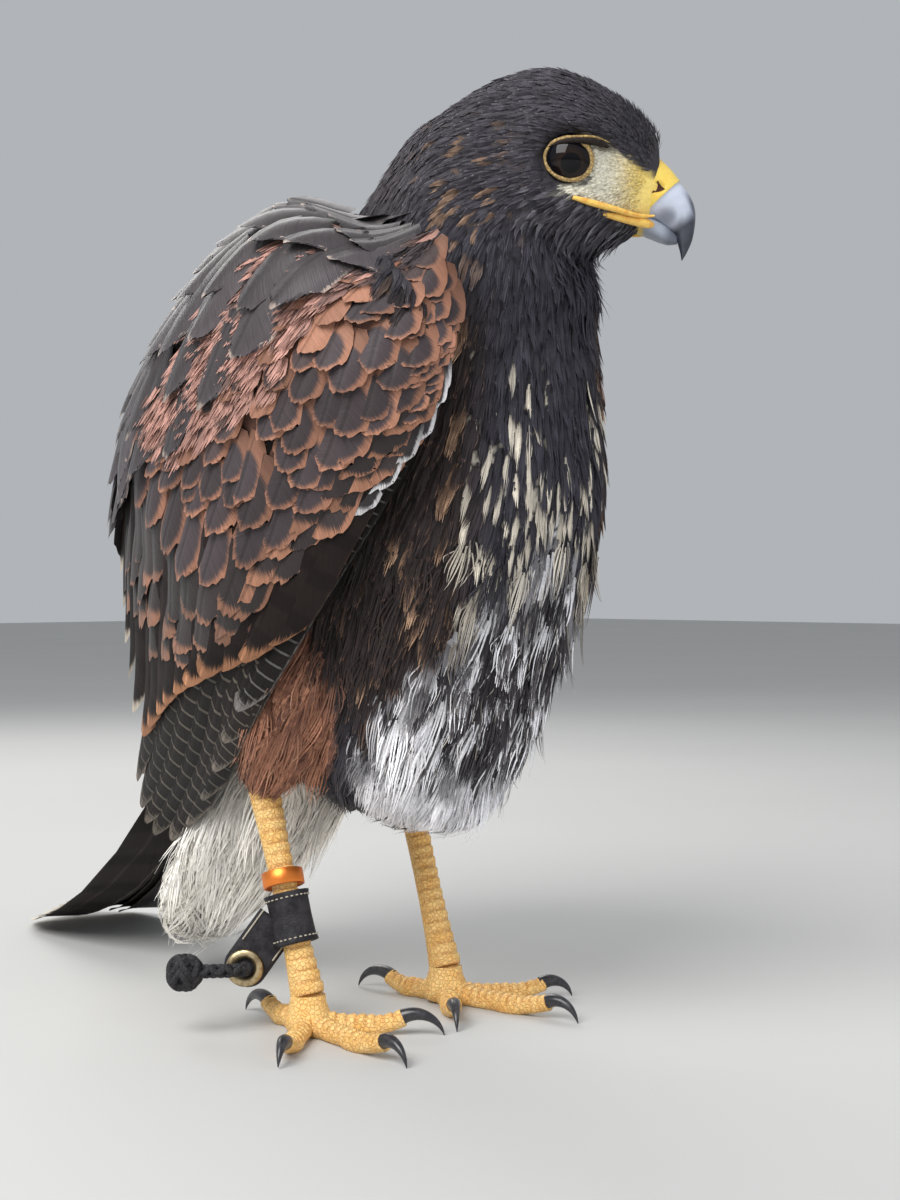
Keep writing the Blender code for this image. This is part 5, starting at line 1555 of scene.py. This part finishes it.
# %% Lower bill
lower_fin = Finish("lower_bill_mixed", Specular_IOR_Level=0.5)
blotch = lower_fin.noise(lower_fin.place(), 200.0, 4.0, 0.6)
from_root = lower_fin.from_point(head_point(20, 0, -22))
horny = (from_root + (blotch - 0.5) * 0.002).above(0.0108, 0.0130)
lower_colour = lower_fin.mix(horny, (0.78, 0.58, 0.14), (0.33, 0.36, 0.43))
dark_tip = from_root.above(0.0175, 0.0215) * 0.8
lower_colour = lower_fin.mix(dark_tip, lower_colour, (0.07, 0.08, 0.10))
lower_fin.done(Base_Color=lower_fin.shade(lower_colour, 0.85 + blotch * 0.3),
               Roughness=0.28 + blotch * 0.2, Normal=lower_fin.bump(blotch, 0.0003, 0.5))
bm = bmesh.new()
loft(bm, bill_rings(LOWER_BILL, np.linspace(0, 4, 40)))
simple_piece(bm, "lower_bill_horn", lower_fin.material, "horn", "lower_bill")
print("bill ready")

# %% [markdown]
# The eye is the feature that people look at first. A dark iris rings a black pupil under a clear,
# wet surface, so the ball is smooth and glossy, and the rings are distances from its front.

# %% Eyes
def ball_eye(side, word):
    x, y, h = EYE_PLACE
    bm = bmesh.new()
    radius = EYE_RADIUS * HEAD_SCALE * MM * 0.985
    bmesh.ops.create_uvsphere(bm, u_segments=64, v_segments=40, radius=radius)
    bmesh.ops.translate(bm, verts=bm.verts, vec=tuple(head_point(x, side * y, h)))
    fin = Finish("eye_" + word, Roughness=0.03, Specular_IOR_Level=0.22)
    # The front of the gaze lies a little low, as the brow covers the top of the ball
    away = fin.from_point(head_point(x + 0.4, side * (y + EYE_RADIUS * 0.94), h - 2.9))
    rays = fin.noise(fin.place(), 700.0, 3.0, 0.7)
    iris = fin.mix(away.above(0.0036, 0.0072), (0.014, 0.008, 0.006), (0.004, 0.004, 0.006))
    iris = fin.shade(iris, 0.6 + rays * 0.8)
    fin.done(Base_Color=fin.mix(away.below(0.0033, 0.0036), iris, (0.002, 0.002, 0.003)))
    simple_piece(bm, "eyeball_" + word, fin.material, "eye", "eye_" + word)


print("radius of an eye", round(EYE_RADIUS * HEAD_SCALE, 2), "mm")

# %% [markdown]
# Yellow lids ring the eye, and a dark strip over its top is painted shadow from the brow, under a
# thin bright line at the brow's edge. The gape is a soft lip that runs back from the bill. All of
# these are strips of skin, so one function draws each through a few places of the head.

# %% Lids, brow and gape
lid_skin = two_tone("lid_skin", ("cells", 1300.0), (0.54, 0.38, 0.13), (0.26, 0.17, 0.07),
                    (0.1, 0.6), rough=(0.45, 0.0), relief=(0.0003, 0.6), Specular_IOR_Level=0.4)
brow_shade = two_tone("brow_shade", ("noise", 900.0, 3.0, 0.6), (0.030, 0.022, 0.018),
                      (0.010, 0.008, 0.008), rough=(0.7, 0.0), relief=(0.0004, 0.7),
                      Specular_IOR_Level=0.15)
lip_skin = two_tone("lip_skin", ("noise", 420.0, 4.0, 0.65), (0.86, 0.56, 0.13),
                    (0.74, 0.36, 0.07), (0.4, 0.68), relief=(0.0006, 0.7),
                    Specular_IOR_Level=0.35)


def lid_ring(side, word):
    middle_x, middle_y, middle_h = EYE_PLACE
    bm = bmesh.new()
    a = np.linspace(0, math.tau, 72, endpoint=False)
    x = middle_x - 0.2 + 7.4 * np.cos(a)
    h = middle_h - 0.6 + np.where(np.sin(a) > 0, 6.1, 6.7) * np.sin(a) - 0.5 * np.cos(a)
    bulge = EYE_RADIUS**2 - (x - middle_x)**2 - (h - middle_h)**2
    y = side * (middle_y + np.sqrt(np.maximum(bulge, 4)) - 0.15)
    thick = 0.80 + 0.08 * np.sin(a * 9) + 0.18 * np.cos(a)
    tube(bm, head_point(x, y, h), thick, 12, closed=True)
    simple_piece(bm, "lid_" + word, lid_skin, "cere_skin")


# Name, material and slot, then places forward, to the side and up, and the strip's radii there
STRIPS = (
    ("gape_", lip_skin, "cere_skin", (6.2, 12.6, 20.5, 27, 31, 34),
     (22.6, 20.3, 16.5, 12.2, 9.4, 8.4), (-18.0, -19.3, -20.6, -21.5, -21.3, -21.0),
     (0.7, 1.1, 1.0, 0.8, 0.6, 0.3)),
    ("lower_lip_", lip_skin, "cere_skin", (10, 17, 24.5, 31, 34),
     (18.2, 15.4, 11.2, 7.6, 4.6), (-20.4, -21.8, -22.7, -23.3, -23.4), (0.2, 1.0, 1.4, 1.6, 0.8)),
    # A dark strip over the top of the eye and the lid ring, coloured as painted shadow from the
    # brow
    ("brow_shadow_strip_", brow_shade, "dark_feather", (-1.5, 3, 7.5, 12.5, 17.5),
     (24.8, 26.6, 27.1, 25.9, 22.6), (-2.4, -1.2, -0.9, -1.1, -1.9), (0.15, 0.75, 0.95, 1.15, 0.6)),
    ("brow_line_", lid_skin, "cere_skin", (-0.5, 3, 7.5, 13, 18.2),
     (25.0, 26.9, 27.4, 26.2, 22.6), (-1.4, -0.2, 0.2, 0.3, -0.6), (0.1, 0.38, 0.42, 0.38, 0.1)),
)
for side, word in SIDES:
    ball_eye(side, word)
    lid_ring(side, word)
    for name, material, slot, *columns in STRIPS:
        table = np.stack(columns, axis=1)
        path = table_at(np.linspace(0, 1, len(table)), table, np.linspace(0, 1, 40))
        bm = bmesh.new()
        tube(bm, head_point(path[:, 0], side * path[:, 1], path[:, 2]), path[:, 3], 14)
        simple_piece(bm, name + word, material, slot)
print("face ready")

# %% [markdown]
# The bare legs are orange-yellow, with broad plates down the front of the shank and over each toe,
# and lumpy pads below. The radius of each ring carries these steps, so they catch the light, and
# a value on the mesh marks the grooves between plates, where the skin is darker.

# %% Scaled limbs
# Each toe's turn from straight ahead in degrees, its length, radius and claw
TOES = {"middle": (8, 47, 4.3, 16), "outer": (52, 38, 3.9, 13.5), "inner": (-40, 34, 4.3, 18),
        "hind": (188, 27, 4.3, 20)}
CLAW_RADIUS = 2.5
SHANK_KEYS = (13, 24, 40, 60, 78, 86)
SHANK_ROWS = [(6.2,), (5.3,), (4.7,), (4.7,), (5.4,), (5.6,)]


def scaled_tube(bm, centres, radii, up, plates, depth=0.10, sides=28, pads=0):
    """A limb with overlapping plates on its upper side, pads below, and a note of its grooves."""
    groove = bm.verts.layers.float.get("groove") or bm.verts.layers.float.new("groove")
    ways = unit(np.gradient(centres, axis=0))
    angle = np.linspace(0, math.tau, sides, endpoint=False)
    top, under = np.clip(np.cos(angle) * 1.6 + 0.2, 0, 1), np.clip(-np.cos(angle) * 1.4, 0, 1)
    rings, notes = [], []
    for i, (centre, way, radius) in enumerate(zip(centres, ways, radii)):
        t = i / (len(centres) - 1)
        side_way = unit(np.cross(way, up))
        over = np.cross(side_way, way)
        plate = (t * plates) % 1.0
        swell = min(plate / 0.8, 1) ** 0.7 - max(plate - 0.8, 0) / 0.2
        ridge = 1 + depth * top * (swell - 0.6)
        if pads:
            ridge = ridge + 0.14 * under * (abs(math.sin(t * pads * math.pi)) - 0.5)
        spoke = over * np.cos(angle)[:, None] + side_way * np.sin(angle)[:, None]
        rings.append(centre + spoke * (radius * ridge)[:, None] * MM)
        notes.extend(top * (1 - min(swell * 1.6, 1)))
    first = len(bm.verts)
    loft(bm, rings)
    bm.verts.ensure_lookup_table()
    for i, note in enumerate(notes):
        bm.verts[first + i][groove] = note


leg_fin = Finish("leg_skin", Specular_IOR_Level=0.42, Subsurface_Weight=0.08,
                 Subsurface_Scale=0.002)
scales = leg_fin.cells(leg_fin.place(), 620.0, "DISTANCE_TO_EDGE")
grime = leg_fin.noise(leg_fin.place(), 180.0, 4.0, 0.6)
fine = leg_fin.noise(leg_fin.place(), 1500.0, 3.0, 0.6)
leg_colour = leg_fin.mix(grime.above(0.35, 0.7), (0.95, 0.62, 0.24), (0.86, 0.48, 0.14))
leg_colour = leg_fin.mix(scales.below(0.0, 0.08) * 0.30, leg_colour, (0.48, 0.24, 0.08))
grooves = leg_fin.attribute("groove", "Fac") * 0.75
leg_colour = leg_fin.mix(grooves, leg_colour, (0.50, 0.22, 0.06))
leg_relief = leg_fin.bump(scales.above(0.0, 0.16) + fine * 0.3, 0.0006, 0.7)
leg_skin = leg_fin.done(Base_Color=leg_fin.shade(leg_colour, 0.85 + fine * 0.3),
                        Roughness=0.42 + fine * 0.2, Normal=leg_relief)
claw_horn = two_tone("claw_horn", ("noise", 500.0, 4.0, 0.6), (0.018, 0.018, 0.022),
                     (0.045, 0.042, 0.045), (0.4, 0.7), rough=(0.22, 0.2), relief=(0.0002, 0.4),
                     Specular_IOR_Level=0.5, Coat_Weight=0.3, Coat_Roughness=0.2)
print("leg skin ready")

# %% [markdown]
# A foot is a round pad with four toes from its middle, all in one mesh. Each claw starts inside
# the toe's end and turns from upwards to almost straight down, and what would go under the floor
# is lifted, most at the point.

# %% Legs and feet
# Height and radius of the pad's rings
PAD = ((0.6, 6.0), (1.2, 7.4), (3, 8.3), (5, 8.4), (7.5, 7.8), (9.5, 6.9), (11.5, 6.3), (13.4, 6.2))
CLAW_SLOPES, CLAW_STEPS, CLAW_ROOT = (math.radians(28), math.radians(-78)), 24, 1.5
UP = np.array((0, 0, 1))


def grow_claw(name, end, way, size):
    start, stop = CLAW_SLOPES
    point, path, radii = end - way * CLAW_ROOT * MM, [], []
    for share in np.arange(CLAW_STEPS + 1) / CLAW_STEPS:
        path.append(point)
        radii.append(CLAW_RADIUS * (1 - share**1.4) + 0.16)
        slope = start + (stop - start) * share
        ahead = way * math.cos(slope) + np.array((0, 0, math.sin(slope)))
        point = point + ahead * (size + CLAW_ROOT) / CLAW_STEPS * MM
    path, radii = np.array(path), np.array(radii)
    low = (path[:, 2] - radii * MM).min()
    path[:, 2] -= min(low, 0) * (np.linspace(0, 1, CLAW_STEPS + 1) ** 2)
    bm = bmesh.new()
    tube(bm, path, radii, 20, ref=(-way[1], way[0], 0.01))
    simple_piece(bm, "talon_" + name, claw_horn, "claw_horn", "claw_" + name)


for side, word in SIDES:
    z = np.linspace(PAD_TOP + 0.2, ANKLE[2] + 6, 170)
    radii = table_at(SHANK_KEYS, SHANK_ROWS, np.clip(z, SHANK_KEYS[0], SHANK_KEYS[-1]))[:, 0]
    bm = bmesh.new()
    scaled_tube(bm, shank_centre(side, z), radii, (0, -1, 0.2), 20, 0.13)
    simple_piece(bm, "shank_" + word, leg_skin, "leg_skin", "tarsus_" + word)
    middle = at(SHANK_FOOT, side * FOOT_SIDE, 0)
    bm = bmesh.new()
    a = np.linspace(0, math.tau, 28, endpoint=False)
    loft(bm, [middle + np.stack((r * np.cos(a), r * np.sin(a), np.full(28, h)), axis=1) * MM
              for h, r in PAD])
    t = np.linspace(0.0, 1.0, 110)
    for toe, (turned, length, radius, claw) in TOES.items():
        a = math.radians(turned)
        way = np.array((-side * math.sin(a), -math.cos(a), 0))
        thick = radius * (1 - 0.28 * t)
        knuckle = 1 + 0.07 * np.sin(t * math.tau * 2.0)
        height = thick * 0.86 + 3.2 * np.maximum(t - 0.72, 0) / 0.28
        centres = middle + way * (length * t)[:, None] * MM + UP * height[:, None] * MM
        plates = int(length / 3.2)
        scaled_tube(bm, centres, thick * knuckle, (0, 0, 1), plates, 0.20, pads=4)
        grow_claw(toe + "_" + word, centres[-1], way, claw)
    for vert in bm.verts:
        vert.co.z = max(vert.co.z, 0.0)
    simple_piece(bm, "toes_" + word, leg_skin, "leg_skin", "foot_" + word)
print("feet ready")

# %% [markdown]
# What the right leg wears: a bright, bare metal ring, a leather cuff with a tab and a brass
# eyelet, and the braided end of the button in the eyelet. The ring, the cuff and the eyelet are
# profiles spun about the leg or the eyelet's own line.

# %% Metal, leather and thread
def spun_ring(centre, axis, profile, steps=64):
    """A ring turned about an axis: profile points are (radius, along) in millimetres."""
    axis = Vector(axis).normalized()
    side_way = axis.cross(Vector((0.3, 1, 0.2))).normalized()
    bm = bmesh.new()
    centre = Vector(centre)
    verts = [bm.verts.new(centre + side_way * r * MM + axis * a * MM) for r, a in profile]
    edges = [bm.edges.new((a, b)) for a, b in zip(verts, verts[1:] + verts[:1])]
    bmesh.ops.spin(bm, geom=verts + edges, cent=centre, axis=axis, angle=math.tau, steps=steps,
                   use_merge=True, use_normal_flip=False, use_duplicate=False)
    bmesh.ops.remove_doubles(bm, verts=bm.verts, dist=1e-6)
    return bm


ORANGE = (0.88, 0.26, 0.05)
orange_metal = two_tone("orange_anodised", ("noise", 900.0, 3.0, 0.7), ORANGE, (0.75, 0.36, 0.18),
                        (0.6, 0.8), much=0.5, rough=(0.28, 0.2), Metallic=0.85)
brass = two_tone("brass_worn", ("noise", 500.0, 4.0, 0.6), (0.62, 0.50, 0.30),
                 (0.30, 0.22, 0.12), (0.4, 0.7), rough=(0.25, 0.3), Metallic=1.0)
thread = two_tone("pale_thread", ("noise", 1800.0, 2.0, 0.5), (0.55, 0.50, 0.40),
                  (0.30, 0.27, 0.22), rough=(0.8, 0.0))
cord = two_tone("black_cord", ("cells", 1300.0), (0.035, 0.033, 0.038), (0.012, 0.012, 0.014),
                (0.1, 0.6), rough=(0.75, 0.0), relief=(0.0004, 0.8))
leather_fin = Finish("black_leather", Specular_IOR_Level=0.22)
pebble = leather_fin.cells(leather_fin.place(), 1500.0, "SMOOTH_F1")
crease = leather_fin.noise(leather_fin.place(), 220.0, 4.0, 0.6)
leather_colour = leather_fin.mix(crease.above(0.35, 0.7), (0.014, 0.013, 0.016),
                                 (0.036, 0.033, 0.037))
leather = leather_fin.done(Base_Color=leather_colour, Roughness=0.42 + crease * 0.25,
                           Normal=leather_fin.bump(pebble * 0.7 + crease, 0.0004, 0.7))
print("leg wear materials ready")

# %% [markdown]
# The ring lies loose, a little tilted. The tab leaves the cuff on the outer side, hangs down at a
# slant and ends round about the eyelet, so its half width shrinks like a circle's there.

# %% Ring, cuff, tab and eyelet
CUFF_PROFILE = [(5.75, -8.6), (6.6, -9.2), (7.9, -9.0), (8.0, -8.4), (7.45, -6.5), (7.3, 0),
                (7.45, 6.5), (8.1, 8.4), (8.0, 9.0), (6.7, 9.2), (5.75, 8.6)]
EYELET_PROFILE = [(3.4, -2.4), (4.4, -2.8), (6.2, -2.5), (6.7, -1.9), (4.4, -1.7), (4.4, 1.7),
                  (6.7, 1.9), (6.2, 2.6), (4.6, 3.0), (3.4, 2.4)]
RING_INNER, RING_OUTER, RING_HALF = 6.4, 7.4, 2.8
CUFF_HEIGHT, TAB_HALF, TAB_THICK, TAB_END = 39, 7.8, 1.6, 1.32


def bevelled(inner, outer, half, edge=0.25):
    return [(inner, -half + edge), (inner + edge, -half), (outer - edge, -half),
            (outer, -half + edge), (outer, half - edge), (outer - edge, half),
            (inner + edge, half), (inner, half - edge)]


slope = unit(shank_centre(1, 60) - shank_centre(1, 40))
ring_axis = unit(slope + np.array((0.10, 0.05, 0)))
ring_profile = bevelled(RING_INNER, RING_OUTER, RING_HALF)
ring_bm = spun_ring(shank_centre(1, 52.5), ring_axis, ring_profile)
simple_piece(ring_bm, "ring_band", orange_metal, "orange_metal", "leg_ring")
facing, away = unit(at(1, 1, 0) - at(0, 0, 0)), unit(at(-1, 1, 0) - at(0, 0, 0))
eyelet = shank_centre(1, 36) + away * 17 * MM - np.array((0, 0, 14 * MM))
start = shank_centre(1, 38) + away * 5.0 * MM
down = unit(eyelet - start)
wide = unit(np.cross(facing, down))
bm = spun_ring(shank_centre(1, CUFF_HEIGHT), slope, CUFF_PROFILE, 72)
tab = []
for t in np.linspace(0, TAB_END, 26):
    centre = start + (eyelet - start) * t
    half = TAB_HALF * (1 if t < 1.0 else math.sqrt(max(1 - ((t - 1.0) / 0.34) ** 2, 0.02)))
    ring = []
    for k in range(28):
        a = math.tau * k / 28
        across = wide * half * power(math.cos(a), 0.5)
        ring.append(centre + (across + facing * TAB_THICK * power(math.sin(a), 0.6)) * MM)
    tab.append(ring)
loft(bm, tab)
simple_piece(bm, "anklet_leather", leather, "leather", "anklet")
eyelet_bm = spun_ring(eyelet, facing, EYELET_PROFILE)
simple_piece(eyelet_bm, "eyelet_brass", brass, "brass", "grommet")
print("ring, cuff and eyelet ready")

# %% [markdown]
# Every stitch is a short spindle, thickest in its middle. Two rows run down the tab, with a gap
# round the eyelet, and two run round the cuff's edges.

# %% Stitches
bm = bmesh.new()
for number in range(34):
    t = number / 34 * TAB_END
    if t > 1.22 or abs(t - 1.0) < 0.38:
        continue
    for hand in (-1, 1):
        centre = start + (eyelet - start) * t + wide * hand * 6.5 * MM + facing * 1.65 * MM
        places = [centre + down * length * MM for length in (-0.55, 0.1, 0.65)]
        tube(bm, places, [0.2, 0.32, 0.2], 8)
round_leg = unit(np.cross(slope, (0.3, 1, 0.2)))
for row in (-7.2, 7.2):
    for k in range(26):
        a = math.tau * k / 26
        spoke = round_leg * math.cos(a) + np.cross(round_leg, slope) * math.sin(a)
        centre = shank_centre(1, CUFF_HEIGHT) + slope * row * MM + spoke * 7.75 * MM
        tangent = unit(np.cross(slope, spoke))
        places = [centre - tangent * 0.5 * MM, centre + spoke * 0.12 * MM,
                  centre + tangent * 0.5 * MM]
        tube(bm, places, [0.2, 0.3, 0.2], 8)
simple_piece(bm, "anklet_stitches", thread, "leather")
print("stitches ready")

# %% [markdown]
# The button is a short round braid: four strands wind about one path, two each way, and at both
# ends a strand wraps a ball on a closed curve that weaves in and out.

# %% Knotted button
ROUTE = [(-7.5, 0, 0), (0, 0, 0), (5, 0, 0), (9, 6, 0.5), (10, 13, 0.5), (9.5, 20, 0)]
ends = np.array([eyelet + (facing * a + away * b + np.array((0, 0, c))) * MM for a, b, c in ROUTE])
route = table_at(np.linspace(0, 1, 6), ends, np.linspace(0, 1, 60))
ways = unit(np.gradient(route, axis=0))
cross = unit(np.cross(ways, (0.1, 0.2, 1.0)))
over = np.cross(cross, ways)
bm = bmesh.new()
for k in range(4):
    wind = np.linspace(0, math.tau * 3.5, 60) * (1 if k % 2 else -1) + math.tau * k / 4
    about = cross * np.cos(wind)[:, None] + over * np.sin(wind)[:, None]
    tube(bm, route + about * 1.35 * MM, 1.15, 10)
for ball_at, size, strands in ((ends[-1], 5.3, 2), (ends[0] - facing * MM, 3.4, 1)):
    core = bmesh.ops.create_uvsphere(bm, u_segments=24, v_segments=16, radius=size * 0.86 * MM)
    bmesh.ops.translate(bm, verts=core["verts"], vec=tuple(ball_at))
    for k in range(strands):
        lon = np.linspace(0, math.tau * 3, 150, endpoint=False)
        lat = 1.15 * np.sin(lon * 4 / 3 + k * math.pi / 2)
        around = (np.cos(lat) * np.cos(lon), np.cos(lat) * np.sin(lon), np.sin(lat))
        weave = size * (1 + 0.10 * np.sin(lon * 8 / 3))
        places = ball_at + np.stack(around, axis=1) * weave[:, None] * MM
        tube(bm, places, size * 0.23, 10, closed=True)
simple_piece(bm, "knotted_button", cord, "leather", "jess_button")
print("leg wear ready")

# %% [markdown]
# The camera stands level at the height of the belly, two thirds of a metre from the feet, and
# looks at the bird from its front right, as the photograph does. One big soft light comes from
# above, a weaker one fills from the other side and a third lights the back.

# %% Floor, lights and camera
FLOOR_HALF, CAMERA_GAP, CAMERA_ASIDE, CAMERA_HEIGHT = 6, 0.660, 0.0293, 0.157
# The photograph's frame in pixels: its height, the focal length and how far the bird sits low
FRAME_HEIGHT, FOCAL, LOW = 1200, 1803, 15

bm = bmesh.new()
bmesh.ops.create_grid(bm, x_segments=1, y_segments=1, size=FLOOR_HALF)
floor = finish_mesh(bm, "floor", smooth=False)
floor.data.materials.append(two_tone("studio_floor", ("noise", 3.0, 3.0, 0.5),
                                     (0.50, 0.50, 0.49), (0.55, 0.55, 0.54), rough=(0.9, 0.0)))

feet = at(0, 0, 0)
face_on = math.radians(-45)
right_way = np.array((math.cos(face_on), math.sin(face_on), 0))
view_way = np.array((-math.sin(face_on), math.cos(face_on), 0))


def stand(ahead, aside, height):
    """A place seen from the camera's side: metres ahead of the feet, to the right and up."""
    return feet + view_way * ahead + right_way * aside + np.array((0, 0, height))


def area_light(name, place, size, energy, colour):
    data = bpy.data.lights.new(name, "AREA")
    data.size, data.energy, data.color = size, energy, colour
    light = bpy.data.objects.new(name, data)
    light.location = place
    to_belly = Vector(stand(0, 0, 0.17)) - Vector(place)
    light.rotation_euler = to_belly.to_track_quat("-Z", "Y").to_euler()
    scene.collection.objects.link(light)
    return light


area_light("key", stand(-0.95, -0.65, 1.25), 1.1, 30, (1.0, 0.99, 0.97))
fill = area_light("fill", stand(-1.0, 1.1, 0.35), 1.0, 9, (0.93, 0.96, 1.0))
fill.visible_glossy = False
area_light("back", stand(1.0, -0.4, 1.0), 0.9, 9, (1.0, 0.98, 0.95))
world = bpy.data.worlds.new("studio")
world.use_nodes = True
surround = world.node_tree.nodes["Background"]
surround.inputs["Color"].default_value = (0.80, 0.83, 0.87, 1)
surround.inputs["Strength"].default_value = 0.55
scene.world = world
scene.view_settings.view_transform = "Standard"

lens = bpy.data.cameras.new("camera")
lens.sensor_fit = "VERTICAL"
lens.sensor_height = 36
lens.lens = lens.sensor_height * FOCAL / FRAME_HEIGHT
lens.shift_y = -LOW / FRAME_HEIGHT
camera = bpy.data.objects.new("camera", lens)
camera.location = stand(-CAMERA_GAP, CAMERA_ASIDE, CAMERA_HEIGHT)
camera.rotation_euler = Vector(view_way).to_track_quat("-Z", "Y").to_euler()
scene.collection.objects.link(camera)
scene.camera = camera
print("camera at", [round(v, 3) for v in camera.location])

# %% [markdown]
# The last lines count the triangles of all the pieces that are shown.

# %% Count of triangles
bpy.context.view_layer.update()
shown = [obj.data for obj in scene.objects if obj.type == "MESH" and not obj.hide_render]
print("triangles", sum(len(p.vertices) - 2 for mesh in shown for p in mesh.polygons))
